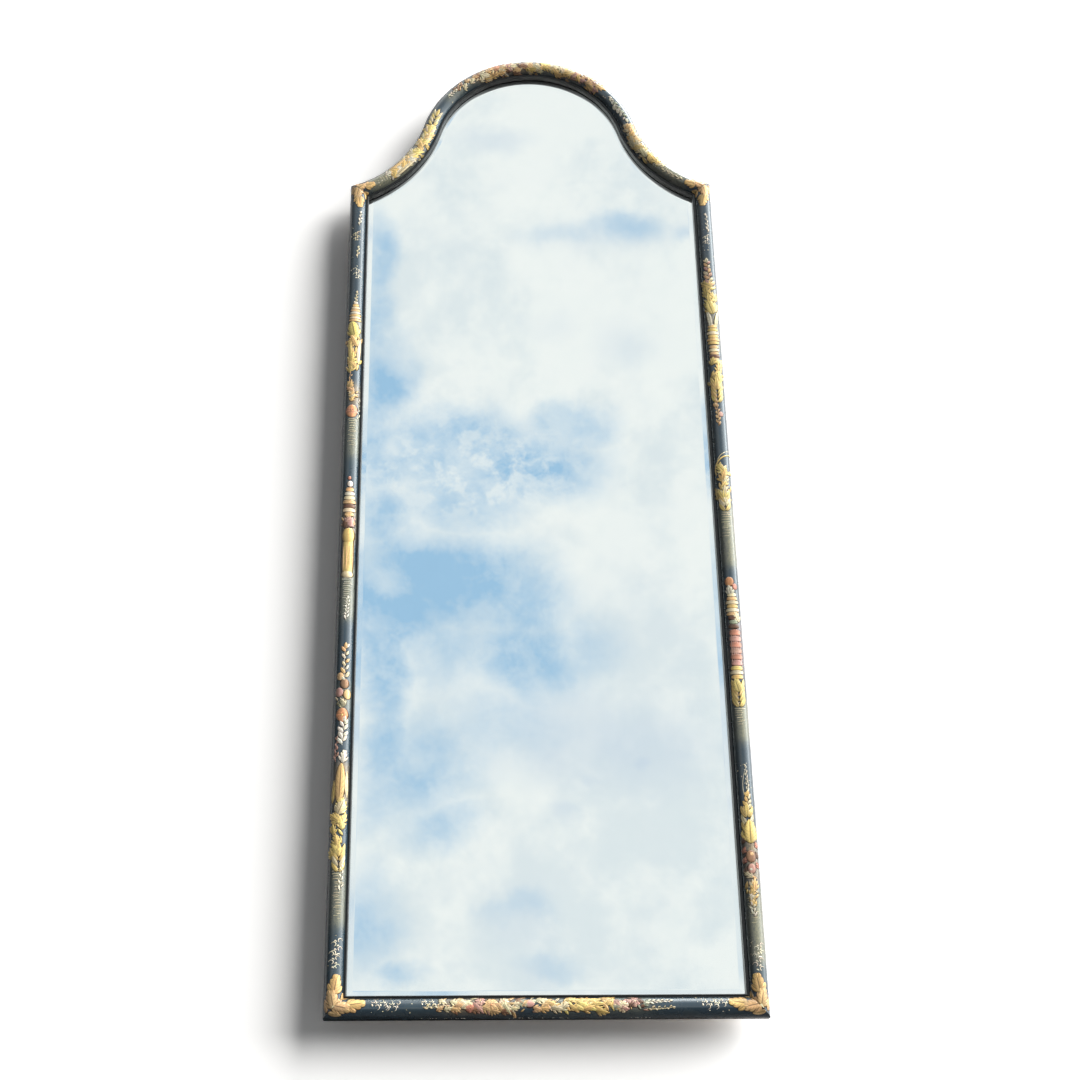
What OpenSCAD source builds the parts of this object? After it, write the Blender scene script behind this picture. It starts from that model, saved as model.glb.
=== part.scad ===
// Tall wall mirror with an arched crown: a half-round lacquered moulding, mitred at the four corners,
// round a bevelled mirror glass, with a screwed backboard, corner plates and two ring hangers behind.
// Millimetres, +Z up. The viewer stands on the -Y side.
// The origin lies on the wall, midway between the hangers.

/* [Overall] */
// Width over the outer edges of the frame
overall_w = 600; // [540:10:680]
// Height from the bottom edge to the top of the crown
overall_h = 1600; // [1200:10:1900]

/* [Arched top] */
// Height of the crown above the shoulder corners
arch_h = 257.5; // [240:0.5:275]
// Radius of the cove that rises from each shoulder, measured at the outer edge
cove_r = 183.5; // [165:0.5:205]
// Slope at which the cove leaves the shoulder, in degrees
shoulder_slope = 17.7; // [13:0.1:22]

/* [Moulding] */
// Width from the outer edge to the sight edge
moulding_w = 30.5; // [30:0.5:34]
// Width of the half-round
round_w = 27; // [26:0.2:27.6]
// Height of the outer edge, up to where the half-round springs
spring_h = 14.5; // [13.5:0.1:16.5]
// Width of the quirk between the half-round and the sight bead
quirk_w = 0.7; // [0.4:0.1:1]
// Height of the sight bead above the back of the frame
bead_h = 19.5; // [17:0.5:22]

/* [Rebates] */
// Distance from the outer edge to the wall of the rebate that holds the glass
glass_rebate_u = 26; // [24:0.5:26.5]
// Height of the lip's underside above the back of the frame
lip_h = 9; // [9:0.5:11.5]
// Distance from the outer edge to the wall of the rebate that holds the backboard
board_rebate_u = 19; // [18:0.5:19.5]

/* [Mirror glass] */
// Thickness of the glass
glass_t = 4; // [3:0.5:4.5]
// Width of the bevel round its face
bevel_w = 11; // [9:0.5:16]
// Depth of the bevel at the edge of the glass
bevel_d = 1; // [0.6:0.1:1.5]
// Play between the edge of the glass and its rebate
glass_play = 1; // [0.5:0.1:1.5]
// Depth to which each corner of the glass is nipped off
glass_nip = 1.5; // [1:0.1:2.5]

/* [Backboard] */
// Thickness of the plywood backboard
board_t = 4; // [3:0.5:4]
// Play between the edge of the backboard and its rebate
board_play = 0.5; // [0.3:0.1:0.8]
// Distance from the rebate wall to the line of backboard screws
board_screw_inset = 3.5; // [3:0.1:4]
// Distance from a corner of the frame to the nearest backboard screw
corner_screw = 100; // [80:5:140]
// Number of backboard screws along each stile
stile_screws = 6; // [3:1:9]
// Number of backboard screws round the crown
crown_screws = 5; // [3:1:7]
// Width of the strips and blocks behind the edge of the glass
spacer_w = 9; // [7:0.5:12]
// Length of each block behind the arched edge of the glass
block_l = 28; // [20:1:34]

/* [Loose splines in the joints] */
// Thickness of a spline
spline_t = 3; // [2:0.5:4]
// Reach of a spline into each of the two members it joins
spline_reach = 7; // [5:0.5:8]
// Distance from the outer edge to the near end of a spline
spline_in = 3; // [2:0.5:5]
// Distance from the outer edge to the far end of a spline
spline_far = 20; // [18:0.5:22]
// Height of the middle of a spline above the back of the frame
spline_mid_h = 9; // [8:0.5:10]
// Play round a spline in its slot
spline_play = 0.1; // [0.05:0.05:0.3]

/* [Corner plates] */
// Width of a plate
plate_w = 12; // [10:0.5:14]
// Thickness of a plate
plate_t = 1.5; // [1:0.1:2]
// Reach of a plate from the corner of the frame
plate_reach = 58; // [50:1:66]
// Distance from the end of a plate to its nearest screw
plate_screw_in = 12; // [9:1:14]
// Distance between the two screws of each arm of a plate
plate_screw_pitch = 20; // [15:1:22]

/* [Ring hangers] */
// Depth of the hanging point below the shoulder corners
hang_drop = 190; // [150:5:260]
// Width of the strap
strap_w = 8; // [7:0.5:9]
// Thickness of the strap
strap_t = 1.2; // [1:0.1:1.5]
// Length of the strap below the ring's pivot
strap_l = 46; // [44:1:60]
// Distance from the foot of the strap to its nearest screw
strap_screw_in = 9; // [7:0.5:10]
// Distance between the two screws of a strap
strap_screw_pitch = 15; // [10:1:16]
// Diameter of the ring's wire
wire_d = 3; // [2.5:0.1:3.2]
// Play of the wire in the strap's knuckle, on the radius
knuckle_play = 0.08; // [0.04:0.01:0.1]
// Gap between the strap and the ring that hangs over it
ring_gap = 0.3; // [0.2:0.1:0.6]
// Radius of the ring's round end, at the middle of the wire
ring_r = 7.5; // [7:0.1:7.8]
// Radius of the ring's two bends, at the middle of the wire
ring_bend_r = 2.9; // [2.6:0.1:3]
// Length of the ring's straight sides
ring_side = 4; // [3:0.5:6]

/* [Bumpers] */
// Diameter of a rubber bumper
bumper_d = 14; // [12:0.5:17]
// Thickness of a bumper, which holds the frame off the wall
bumper_t = 7; // [6.8:0.1:9]
// Thickness of rubber under the head of its screw
bumper_seat_h = 3; // [2:0.5:4]
// Distance from the side of the frame to the middle of a bumper
bumper_in = 85; // [75:1:120]

/* [Screws] */
// Diameter of a screw's shank
screw_d = 3; // [2.5:0.1:3.2]
// Diameter of a screw's countersunk head
screw_head_d = 5.6; // [5:0.1:6]
// Length of a screw below the face that it is driven from
screw_l = 13; // [11:0.5:15]
// Play round a screw in its hole
screw_play = 0.05; // [0.02:0.01:0.1]

/* [Hidden] */
$fn = 96;

lacquer = "#1d2b36";
lime = "#c9a878";
pine = "#d8bd8a";
plywood = "#b98f5e";
silver = "#dfe8ec";
zinc = "#b9bcc0";
rubber = "#2b2b2b";

half_w = overall_w / 2;
shoulder_h = overall_h - arch_h;
round_r = round_w / 2;
bead_r = (moulding_w - round_w - quirk_w) / 2;
bead_mid_h = bead_h - bead_r;
moulding_h = spring_h + round_r;

// Outer outline of the arched top, for the left half: the cove turns about a centre outside the frame,
// the crown about a centre on the middle line, and the two arcs meet on the line between the centres.
cove_cx = -(half_w + cove_r * sin(shoulder_slope));
cove_cz = shoulder_h + cove_r * cos(shoulder_slope);
rise = overall_h - cove_cz;
crown_r = (cove_cx * cove_cx + rise * rise - cove_r * cove_r) / (2 * (rise + cove_r));
crown_cz = overall_h - crown_r;
joint_a = atan2(cove_cz - crown_cz, -cove_cx);
cove_start_a = -90 + shoulder_slope;
cove_end_a = -joint_a;
// The shoulder mitre runs straight from the outer corner to the corner of the sight edge.
shoulder_mitre_a = atan2(shoulder_h - shoulder_corner(moulding_w)[1], moulding_w);
// Degrees of cove kept past the shoulder for the mitre to cut
mitre_spare = 4;

// The glass seats on the lip's inner corner, so its face stands a little higher than the lip's underside.
sight_cover = moulding_w - glass_rebate_u - glass_play;
glass_face_h = lip_h + bevel_d * (1 - sight_cover / bevel_w);
glass_back_h = glass_face_h - glass_t;
spacer_t = glass_back_h - board_t;
spacer_u = glass_rebate_u + glass_play;

hang_z = shoulder_h - hang_drop;
back_y = -bumper_t;
land_mid_u = board_rebate_u / 2;
board_screw_u = board_rebate_u + board_screw_inset;
// Farther than any piece reaches
far = 2 * overall_h;

ring_bar = ring_r - ring_bend_r;
knuckle_r = wire_d / 2 + knuckle_play + strap_t;
ring_axis_h = strap_t + ring_gap + wire_d / 2;
strap_screws = [for (i = [1, 0]) strap_l - strap_screw_in - i * strap_screw_pitch];
plate_screws = [for (i = [1, 0]) plate_reach - plate_screw_in - i * plate_screw_pitch];

// Points in the plane of the frame, as [x, z], at a distance u in from the outer edge of each member.
function on_stile(u, z) = [-half_w + u, z];
function on_rail(u, x) = [x, u];
function on_cove(u, a) = [cove_cx + (cove_r + u) * cos(a), cove_cz + (cove_r + u) * sin(a)];
function on_crown(u, a) = [(crown_r - u) * cos(a), crown_cz + (crown_r - u) * sin(a)];
// Corner where the stile meets the cove, both at a distance u in from the outer edge
function shoulder_corner(u) = [
  -half_w + u,
  cove_cz - sqrt(pow(cove_r + u, 2) - pow(u - half_w - cove_cx, 2))
];
// Angle on the cove that lies a length s past the shoulder corner, at a distance u in from the edge
function cove_a(u, s) = cove_start_a + s / (cove_r + u) * 180 / PI;
function flip(p) = [-p[0], p[1]];
function both(points) = concat(points, [for (p = points) flip(p)]);

stile_board_screws = [
  for (i = [0 : stile_screws - 1])
    on_stile(board_screw_u, corner_screw + i * (shoulder_h - 2 * corner_screw) / (stile_screws - 1))
];
rail_board_screws = [for (x = [-1, 0, 1]) on_rail(board_screw_u, x * (half_w - corner_screw))];
cove_board_screws = [on_cove(board_screw_u, (cove_start_a + cove_end_a) / 2)];
crown_board_screws = [
  for (i = [0 : crown_screws - 1])
    on_crown(board_screw_u, joint_a + (i + 0.5) * (180 - 2 * joint_a) / crown_screws)
];
stile_plate_screws = concat(
  [for (s = plate_screws) on_stile(land_mid_u, s)],
  [for (s = plate_screws) on_stile(land_mid_u, shoulder_h - s)]
);
rail_plate_screws = [for (s = plate_screws) on_rail(land_mid_u, -half_w + s)];
cove_plate_screws = [for (s = plate_screws) on_cove(land_mid_u, cove_a(land_mid_u, s))];
hanger_screw_points = [for (s = strap_screws) on_stile(land_mid_u, hang_z - s)];
bumper_points = both([on_rail(land_mid_u, -half_w + bumper_in)]);

// Section of the moulding: u runs in from the outer edge, v up from the back of the frame.
module section() {
  difference() {
    union() {
      square([round_w, spring_h]);
      translate([round_r, spring_h])
        intersection() {
          circle(r = round_r);
          translate([-round_w, 0]) square([2 * round_w, round_w]);
        }
      translate([round_w - bead_r, 0]) square([moulding_w - round_w + bead_r, bead_mid_h]);
      translate([moulding_w - bead_r, bead_mid_h])
        intersection() {
          circle(r = bead_r);
          translate([-2 * bead_r, 0]) square([4 * bead_r, 2 * bead_r]);
        }
    }
    translate([glass_rebate_u, -1]) square([moulding_w, lip_h + 1]);
    translate([board_rebate_u, -1]) square([moulding_w, board_t + 1]);
  }
}

// Everything above a line in the plane of the frame, through point p at angle a
module above(p, a) {
  translate([p[0], 0, p[1]])
    rotate([0, -a, 0])
      translate([-far, -far, 0]) cube([2 * far, 2 * far, far]);
}

// A flat shape drawn in the plane of the frame, raised from height h over the back to h + t
module sheet(h, t) {
  translate([0, back_y - h, 0]) rotate([90, 0, 0]) linear_extrude(t) children();
}

// Children drawn along +Z are driven forward from height h over the back, at each of the points
module drive(points, h = 0) {
  for (p = points)
    translate([p[0], back_y - h, p[1]]) rotate([90, 0, 0]) children();
}

// A member turned about a centre in the plane of the frame, from angle a1 to a2
module turned(cx, cz, a1, a2) {
  translate([cx, back_y, cz])
    rotate([90, 0, 0])
      rotate([0, 0, a1]) rotate_extrude(angle = a2 - a1) children();
}

// The region inside the outer outline, at a distance u in from it
module inset_outline(u) {
  top = on_crown(u, joint_a);
  difference() {
    translate([-half_w + u, u]) square([overall_w - 2 * u, top[1] - u]);
    for (side = [-1, 1])
      translate([side * cove_cx, cove_cz]) circle(r = cove_r + u);
  }
  intersection() {
    translate([0, crown_cz]) circle(r = crown_r - u);
    translate([-half_w, top[1]]) square([overall_w, overall_h]);
  }
}

module screw_shape(play = 0) {
  head_h = (screw_head_d - screw_d) / 2;
  tip_h = screw_d;
  cylinder(r1 = screw_head_d / 2 + play, r2 = screw_d / 2 + play, h = head_h);
  cylinder(r = screw_d / 2 + play, h = screw_l - tip_h + play);
  translate([0, 0, screw_l - tip_h + play])
    cylinder(r1 = screw_d / 2 + play, r2 = 0.4, h = tip_h);
}

module screw() {
  slot_w = 0.8;
  color(zinc)
    difference() {
      screw_shape();
      translate([-screw_head_d, -slot_w / 2, -1]) cube([2 * screw_head_d, slot_w, 1.7]);
    }
}

module screw_hole() {
  screw_shape(screw_play);
}

// A spline across a joint that starts at point p of the outer edge and runs in at angle a.
// The joint is off square to the edge by the angle skew, and the near corners stay spline_in deep.
module spline_shape(p, a, skew, play) {
  near = (spline_in + spline_reach * sin(skew)) / cos(skew) - play;
  far_end = spline_far / cos(skew) + play;
  translate([p[0], back_y - spline_mid_h, p[1]])
    rotate([0, -a, 0])
      translate([near, -spline_t / 2 - play, -spline_reach - play])
        cube([far_end - near, spline_t + 2 * play, 2 * (spline_reach + play)]);
}

module bottom_spline(play = 0) {
  spline_shape([-half_w, 0], 45, 45, play);
}

module shoulder_spline(play = 0) {
  spline_shape([-half_w, shoulder_h], -shoulder_mitre_a, shoulder_mitre_a, play);
}

module crown_spline(play = 0) {
  spline_shape(on_crown(0, 180 - joint_a), -joint_a, 0, play);
}

module stile() {
  color(lacquer)
    difference() {
      translate([-half_w, back_y, 0]) linear_extrude(shoulder_h) mirror([0, 1]) section();
      above([-half_w, 0], 225);
      above([-half_w, shoulder_h], -shoulder_mitre_a);
      bottom_spline(spline_play);
      shoulder_spline(spline_play);
      drive(stile_board_screws, 0) screw_hole();
      drive(stile_plate_screws, -plate_t) screw_hole();
      drive(hanger_screw_points, -strap_t) screw_hole();
    }
}

module bottom_rail() {
  color(lacquer)
    difference() {
      translate([half_w, back_y, 0])
        rotate([0, -90, 0]) linear_extrude(overall_w) mirror([0, 1]) section();
      above([-half_w, 0], 45);
      above([half_w, 0], -45);
      bottom_spline(spline_play);
      mirror([1, 0, 0]) bottom_spline(spline_play);
      drive(rail_board_screws) screw_hole();
      drive(both(rail_plate_screws), -plate_t) screw_hole();
      drive(bumper_points, -bumper_seat_h) screw_hole();
    }
}

module cove() {
  color(lacquer)
    difference() {
      turned(cove_cx, cove_cz, cove_start_a - mitre_spare, cove_end_a)
        translate([cove_r, 0]) section();
      above([-half_w, shoulder_h], 180 - shoulder_mitre_a);
      shoulder_spline(spline_play);
      crown_spline(spline_play);
      drive(cove_board_screws) screw_hole();
      drive(cove_plate_screws, -plate_t) screw_hole();
    }
}

module crown() {
  color(lacquer)
    difference() {
      turned(0, crown_cz, joint_a, 180 - joint_a)
        translate([crown_r, 0]) mirror([1, 0]) section();
      crown_spline(spline_play);
      mirror([1, 0, 0]) crown_spline(spline_play);
      drive(crown_board_screws) screw_hole();
    }
}

// Section of what the bevel takes off: its slope runs on past the edge of the glass and over its face.
module bevel_section(edge) {
  slope = bevel_d / bevel_w;
  out = 2;
  over = 0.2;
  polygon([
    [edge - out, -bevel_d - out * slope],
    [edge + bevel_w + over / slope, over],
    [edge - out, over]
  ]);
}

// Flat shape of the glass, its four sharp corners nipped off square to the mitres
module glass_outline(edge) {
  difference() {
    inset_outline(edge);
    for (side = [0, 1])
      mirror([side, 0]) {
        translate([-half_w + edge, edge]) rotate(45) square([2 * glass_nip, 8 * glass_nip], center = true);
        translate(shoulder_corner(edge))
          rotate(-shoulder_mitre_a) square([2 * glass_nip, 8 * glass_nip], center = true);
      }
  }
}

module mirror_glass() {
  edge = glass_rebate_u + glass_play;
  color(silver)
    difference() {
      sheet(glass_back_h, glass_t) glass_outline(edge);
      translate([0, back_y - glass_face_h, 0]) {
        for (side = [0, 1])
          mirror([side, 0, 0])
            translate([-half_w, 0, 0]) linear_extrude(overall_h) mirror([0, 1]) bevel_section(edge);
        translate([half_w, 0, 0])
          rotate([0, -90, 0]) linear_extrude(overall_w) mirror([0, 1]) bevel_section(edge);
      }
      translate([0, -glass_face_h, 0]) {
        for (side = [0, 1])
          mirror([side, 0, 0])
            turned(cove_cx, cove_cz, cove_start_a - mitre_spare, cove_end_a)
              translate([cove_r, 0]) bevel_section(edge);
        turned(0, crown_cz, joint_a, 180 - joint_a)
          translate([crown_r, 0]) mirror([1, 0]) bevel_section(edge);
      }
    }
}

module side_spacer() {
  low = spacer_u + spacer_w + 2;
  high = shoulder_h - spacer_u - spacer_w - 2;
  color(pine) sheet(board_t, spacer_t) translate([-half_w + spacer_u, low]) square([spacer_w, high - low]);
}

module bottom_spacer() {
  reach = half_w - spacer_u;
  color(pine) sheet(board_t, spacer_t) translate([-reach, spacer_u]) square([2 * reach, spacer_w]);
}

// Short glued blocks follow the curve of the glass: round the crown, then up each cove
module arch_blocks() {
  crown_face = sqrt(pow(crown_r - spacer_u, 2) - pow(block_l / 2, 2));
  cove_mid_a = (cove_start_a + cove_end_a) / 2;
  color(pine)
    sheet(board_t, spacer_t) {
      for (a = [joint_a + 12 : (180 - 2 * (joint_a + 12)) / 4 : 180 - joint_a - 11])
        translate([0, crown_cz])
          rotate(a) translate([crown_face - spacer_w, -block_l / 2]) square([spacer_w, block_l]);
      for (side = [0, 1], turn = [-9, 9])
        mirror([side, 0])
          translate([cove_cx, cove_cz])
            rotate(cove_mid_a + turn)
              translate([cove_r + spacer_u, -block_l / 2]) square([spacer_w, block_l]);
    }
}

module backboard() {
  color(plywood)
    difference() {
      sheet(0, board_t) inset_outline(board_rebate_u + board_play);
      drive(concat(both(stile_board_screws), rail_board_screws)) screw_hole();
      drive(concat(both(cove_board_screws), crown_board_screws)) screw_hole();
    }
}

module backboard_screws() {
  drive(concat(both(stile_board_screws), rail_board_screws)) screw();
  drive(concat(both(cove_board_screws), crown_board_screws)) screw();
}

// A plate follows the back of the frame round the corner at point p, and ends plate_reach from it.
module corner_plate(p, points) {
  margin = (board_rebate_u - plate_w) / 2;
  color(zinc)
    difference() {
      sheet(-plate_t, plate_t)
        intersection() {
          difference() {
            inset_outline(margin);
            inset_outline(margin + plate_w);
          }
          translate(p) circle(r = plate_reach);
        }
      drive(points, -plate_t) screw_hole();
    }
}

module bottom_plate() {
  corner_plate([-half_w, 0], concat(stile_plate_screws, rail_plate_screws));
}

module shoulder_plate() {
  corner_plate([-half_w, shoulder_h], concat(stile_plate_screws, cove_plate_screws));
}

module corner_plate_screws() {
  drive(both(concat(stile_plate_screws, rail_plate_screws, cove_plate_screws)), -plate_t) screw();
}

// The strap lies on the back of the stile, and its upper end is rolled round the ring's bar.
module hanger_strap() {
  straight = strap_l - strap_w / 2;
  color(zinc)
    translate([-half_w + land_mid_u, back_y, hang_z])
      difference() {
        union() {
          translate([-strap_w / 2, 0, -straight]) cube([strap_w, strap_t, straight]);
          translate([0, strap_t, -straight]) rotate([90, 0, 0]) cylinder(d = strap_w, h = strap_t);
          translate([-strap_w / 2, ring_axis_h, 0]) rotate([0, 90, 0]) cylinder(r = knuckle_r, h = strap_w);
        }
        translate([-strap_w, ring_axis_h, 0])
          rotate([0, 90, 0]) cylinder(r = wire_d / 2 + knuckle_play, h = 2 * strap_w);
        for (s = strap_screws)
          translate([0, strap_t, -s]) rotate([90, 0, 0]) screw_hole();
      }
}

// The ring hangs from its bar: bar, two bends, two straight sides and a round end, all of one wire.
module hanger_ring() {
  side_top = -ring_bend_r;
  side_foot = side_top - ring_side;
  color(zinc)
    translate([-half_w + land_mid_u, back_y + ring_axis_h, hang_z]) {
      translate([-ring_bar, 0, 0]) rotate([0, 90, 0]) cylinder(d = wire_d, h = 2 * ring_bar);
      for (side = [-1, 1]) {
        translate([side * ring_bar, 0, side_top])
          rotate([90, 0, 0])
            rotate([0, 0, side > 0 ? 0 : 90])
              rotate_extrude(angle = 90) translate([ring_bend_r, 0]) circle(d = wire_d);
        translate([side * ring_r, 0, side_foot]) cylinder(d = wire_d, h = ring_side);
      }
      translate([0, 0, side_foot])
        rotate([90, 0, 0])
          rotate([0, 0, 180]) rotate_extrude(angle = 180) translate([ring_r, 0]) circle(d = wire_d);
    }
}

module hanger_screws() {
  drive(both(hanger_screw_points), -strap_t) screw();
}

module bumper(p) {
  recess_d = screw_head_d + 1;
  color(rubber)
    difference() {
      drive([p], -bumper_t) cylinder(d = bumper_d, h = bumper_t);
      drive([p], -bumper_t - 1) cylinder(d = recess_d, h = bumper_t - bumper_seat_h + 1);
      drive([p], -bumper_seat_h) screw_hole();
    }
}

module bumper_screws() {
  drive(bumper_points, -bumper_seat_h) screw();
}

module right() {
  mirror([1, 0, 0]) children();
}

module placed() {
  translate([0, 0, -hang_z]) children();
}

placed() stile();  // stile_left
placed() right() stile();  // stile_right
placed() bottom_rail();
placed() cove();  // cove_left
placed() right() cove();  // cove_right
placed() crown();
placed() color(lime) bottom_spline();  // spline_bottom_left
placed() right() color(lime) bottom_spline();  // spline_bottom_right
placed() color(lime) shoulder_spline();  // spline_shoulder_left
placed() right() color(lime) shoulder_spline();  // spline_shoulder_right
placed() color(lime) crown_spline();  // spline_crown_left
placed() right() color(lime) crown_spline();  // spline_crown_right
placed() mirror_glass();
placed() side_spacer();  // spacer_left
placed() right() side_spacer();  // spacer_right
placed() bottom_spacer();  // spacer_bottom
placed() arch_blocks();
placed() backboard();
placed() backboard_screws();
placed() bottom_plate();  // corner_plate_bottom_left
placed() right() bottom_plate();  // corner_plate_bottom_right
placed() shoulder_plate();  // corner_plate_shoulder_left
placed() right() shoulder_plate();  // corner_plate_shoulder_right
placed() corner_plate_screws();
placed() hanger_strap();  // hanger_strap_left
placed() right() hanger_strap();  // hanger_strap_right
placed() hanger_ring();  // hanger_ring_left
placed() right() hanger_ring();  // hanger_ring_right
placed() hanger_screws();
placed() bumper(bumper_points[0]);  // bumper_left
placed() bumper(bumper_points[1]);  // bumper_right
placed() bumper_screws();
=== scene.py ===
import math

import bmesh
import bpy
import numpy as np
from mathutils import Matrix, Vector


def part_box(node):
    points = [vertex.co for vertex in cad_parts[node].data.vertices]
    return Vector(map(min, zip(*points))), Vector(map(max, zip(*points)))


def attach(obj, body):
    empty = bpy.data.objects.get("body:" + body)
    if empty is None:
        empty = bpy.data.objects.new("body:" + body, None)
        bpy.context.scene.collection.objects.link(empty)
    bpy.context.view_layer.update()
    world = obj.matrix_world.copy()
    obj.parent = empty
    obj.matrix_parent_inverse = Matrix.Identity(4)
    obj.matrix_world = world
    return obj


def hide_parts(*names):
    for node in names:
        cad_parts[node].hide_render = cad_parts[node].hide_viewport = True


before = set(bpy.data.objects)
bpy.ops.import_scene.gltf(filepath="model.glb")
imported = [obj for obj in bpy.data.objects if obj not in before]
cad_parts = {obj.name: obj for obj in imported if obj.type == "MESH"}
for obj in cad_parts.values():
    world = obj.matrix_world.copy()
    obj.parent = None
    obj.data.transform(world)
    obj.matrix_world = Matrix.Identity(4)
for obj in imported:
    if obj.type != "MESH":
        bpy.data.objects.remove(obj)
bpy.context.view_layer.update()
mm = 0.001

# The half-round moulding, in millimetres, as the frame's six lengths are cut from it
moulding = {
    "roundRadius": 13.5,     # of the half-round
    "springHeight": 14.5,    # where the half-round starts, above the back
    "width": 30.5,           # outer edge to sight edge
    "beadTop": 19.5,         # height of the sight bead
    "quirk": 0.7,            # the groove between half-round and bead
    "lip": 9.0,              # underside of the lip that covers the glass
    "glassRebate": 26.0,     # outer edge to the rebate's walls
    "boardRebate": 19.0,
    "boardDepth": 4.0,
    "coveRadius": 183.5,     # of the cove, at the outer edge
    "shoulderSlope": 17.7,   # degrees at which the cove leaves the shoulder
    "ringStep": 4.0,         # distance between the sections of the mesh
    "wallSteps": 4,          # faces of a section on its outer wall, half-round and bead
    "roundSteps": 40,
    "beadSteps": 12,
    "sharpAngle": 35,        # degrees from which an edge stays sharp
}

# Where the frame stands, read from the CAD pieces
stileLow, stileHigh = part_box("stile_left")
halfWidth = -stileLow.x / mm
footZ = stileLow.z / mm
shoulderZ = stileHigh.z / mm
backY = stileHigh.y / mm
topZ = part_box("crown")[1].z / mm

slope = math.radians(moulding["shoulderSlope"])
coveRadius = moulding["coveRadius"]
coveX = -(halfWidth + coveRadius * math.sin(slope))
coveZ = shoulderZ + coveRadius * math.cos(slope)
rise = topZ - coveZ
crownRadius = (coveX ** 2 + rise ** 2 - coveRadius ** 2) / (2 * (rise + coveRadius))    # crown touches cove
crownZ = topZ - crownRadius
jointAngle = math.atan2(coveZ - crownZ, -coveX)


def sightCornerZ(u):
    # height at which the stile's line meets the cove's, both a distance u in from the outer edge
    return coveZ - math.sqrt((coveRadius + u) ** 2 - (u - halfWidth - coveX) ** 2)


shoulderMitre = math.atan2(shoulderZ - sightCornerZ(moulding["width"]), moulding["width"])


def straightMember(corner, run, inward, length):
    # outer corner, direction of the run and direction inwards, as X and Z
    return {"kind": "straight", "corner": corner, "run": run, "inward": inward, "length": length}


def arcMember(centre, radius, side, angle, turn, sweep):
    # side is 1 where inwards leads away from the centre, turn is 1 where the run goes counter-clockwise.
    # Distances along it are measured on the crest of the round.
    crest = radius + side * moulding["roundRadius"]
    return {"kind": "arc", "centre": centre, "radius": radius, "side": side, "angle": angle,
            "turn": turn, "crest": crest, "length": sweep * crest}


coveSweep = math.pi / 2 - slope - jointAngle
members = {
    "stile_left": straightMember((-halfWidth, footZ), (0, 1), (1, 0), shoulderZ - footZ),
    "stile_right": straightMember((halfWidth, footZ), (0, 1), (-1, 0), shoulderZ - footZ),
    "bottom_rail": straightMember((-halfWidth, footZ), (1, 0), (0, 1), 2 * halfWidth),
    "cove_left": arcMember((coveX, coveZ), coveRadius, 1, slope - math.pi / 2, 1, coveSweep),
    "cove_right": arcMember((-coveX, coveZ), coveRadius, 1, 1.5 * math.pi - slope, -1, coveSweep),
    "crown": arcMember((0, crownZ), crownRadius, -1, math.pi - jointAngle, -1, math.pi - 2 * jointAngle),
}


def place(member, along, inward, height):
    # straight: corner + along * run + inward * inward direction. Arc: centre + radius at the angle reached.
    # Height rises forwards from the back of the frame.
    if member["kind"] == "straight":
        x = member["corner"][0] + along * member["run"][0] + inward * member["inward"][0]
        z = member["corner"][1] + along * member["run"][1] + inward * member["inward"][1]
    else:
        radius = member["radius"] + member["side"] * inward
        angle = member["angle"] + member["turn"] * along / member["crest"]
        x = member["centre"][0] + radius * np.cos(angle)
        z = member["centre"][1] + radius * np.sin(angle)
    x, y, z = np.broadcast_arrays(x, backY - height, z)
    return np.stack([x, y, z], axis=-1) * mm


def coveStart(u):
    # the cove's section at u starts where its circle crosses the straight line of the shoulder mitre
    radius = coveRadius + u
    corner = np.array([-halfWidth - coveX, shoulderZ - coveZ])
    mitre = np.array([math.cos(shoulderMitre), -math.sin(shoulderMitre)])
    middle = corner @ mitre
    reach = -middle + np.sqrt(middle ** 2 - coveRadius ** 2 + radius ** 2)
    angle = np.arctan2(corner[1] + reach * mitre[1], corner[0] + reach * mitre[0])
    return (angle - (slope - math.pi / 2)) * (coveRadius + moulding["roundRadius"])


def memberEnds(name, u):
    # first and last distance along a member at u: a line of 45 degrees at the foot, the shoulder mitre above
    u = np.asarray(u, float)
    member = members[name]
    if name.startswith("stile"):
        return u, member["length"] - u * math.tan(shoulderMitre)
    if name == "bottom_rail":
        return u, member["length"] - u
    if name.startswith("cove"):
        return coveStart(u), np.full_like(u, member["length"])
    return np.zeros_like(u), np.full_like(u, member["length"])


def addObject(name, data):
    item = bpy.data.objects.new(name, data)
    bpy.context.scene.collection.objects.link(item)
    return item


def makeMesh(name, points, faces, sharp=None):
    # a smooth mesh of the frame, its normals turned outwards, its edges sharp from the given angle on
    mesh = bpy.data.meshes.new(name)
    mesh.from_pydata(np.asarray(points).reshape(-1, 3).tolist(), [], faces)
    work = bmesh.new()
    work.from_mesh(mesh)
    bmesh.ops.recalc_face_normals(work, faces=work.faces)
    work.to_mesh(mesh)
    work.free()
    mesh.shade_smooth()
    if sharp:
        mesh.set_sharp_from_angle(angle=math.radians(sharp))
    piece = addObject(name, mesh)
    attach(piece, "frame")
    return piece


def pointValues(piece, name, values, kind="FLOAT"):
    # one value, vector or colour for each vertex
    layer = piece.data.attributes.new(name, kind, "POINT")
    field = {"FLOAT": "value", "FLOAT_VECTOR": "vector", "FLOAT_COLOR": "color"}[kind]
    layer.data.foreach_set(field, np.ascontiguousarray(values, dtype=np.float32).ravel())


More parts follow.
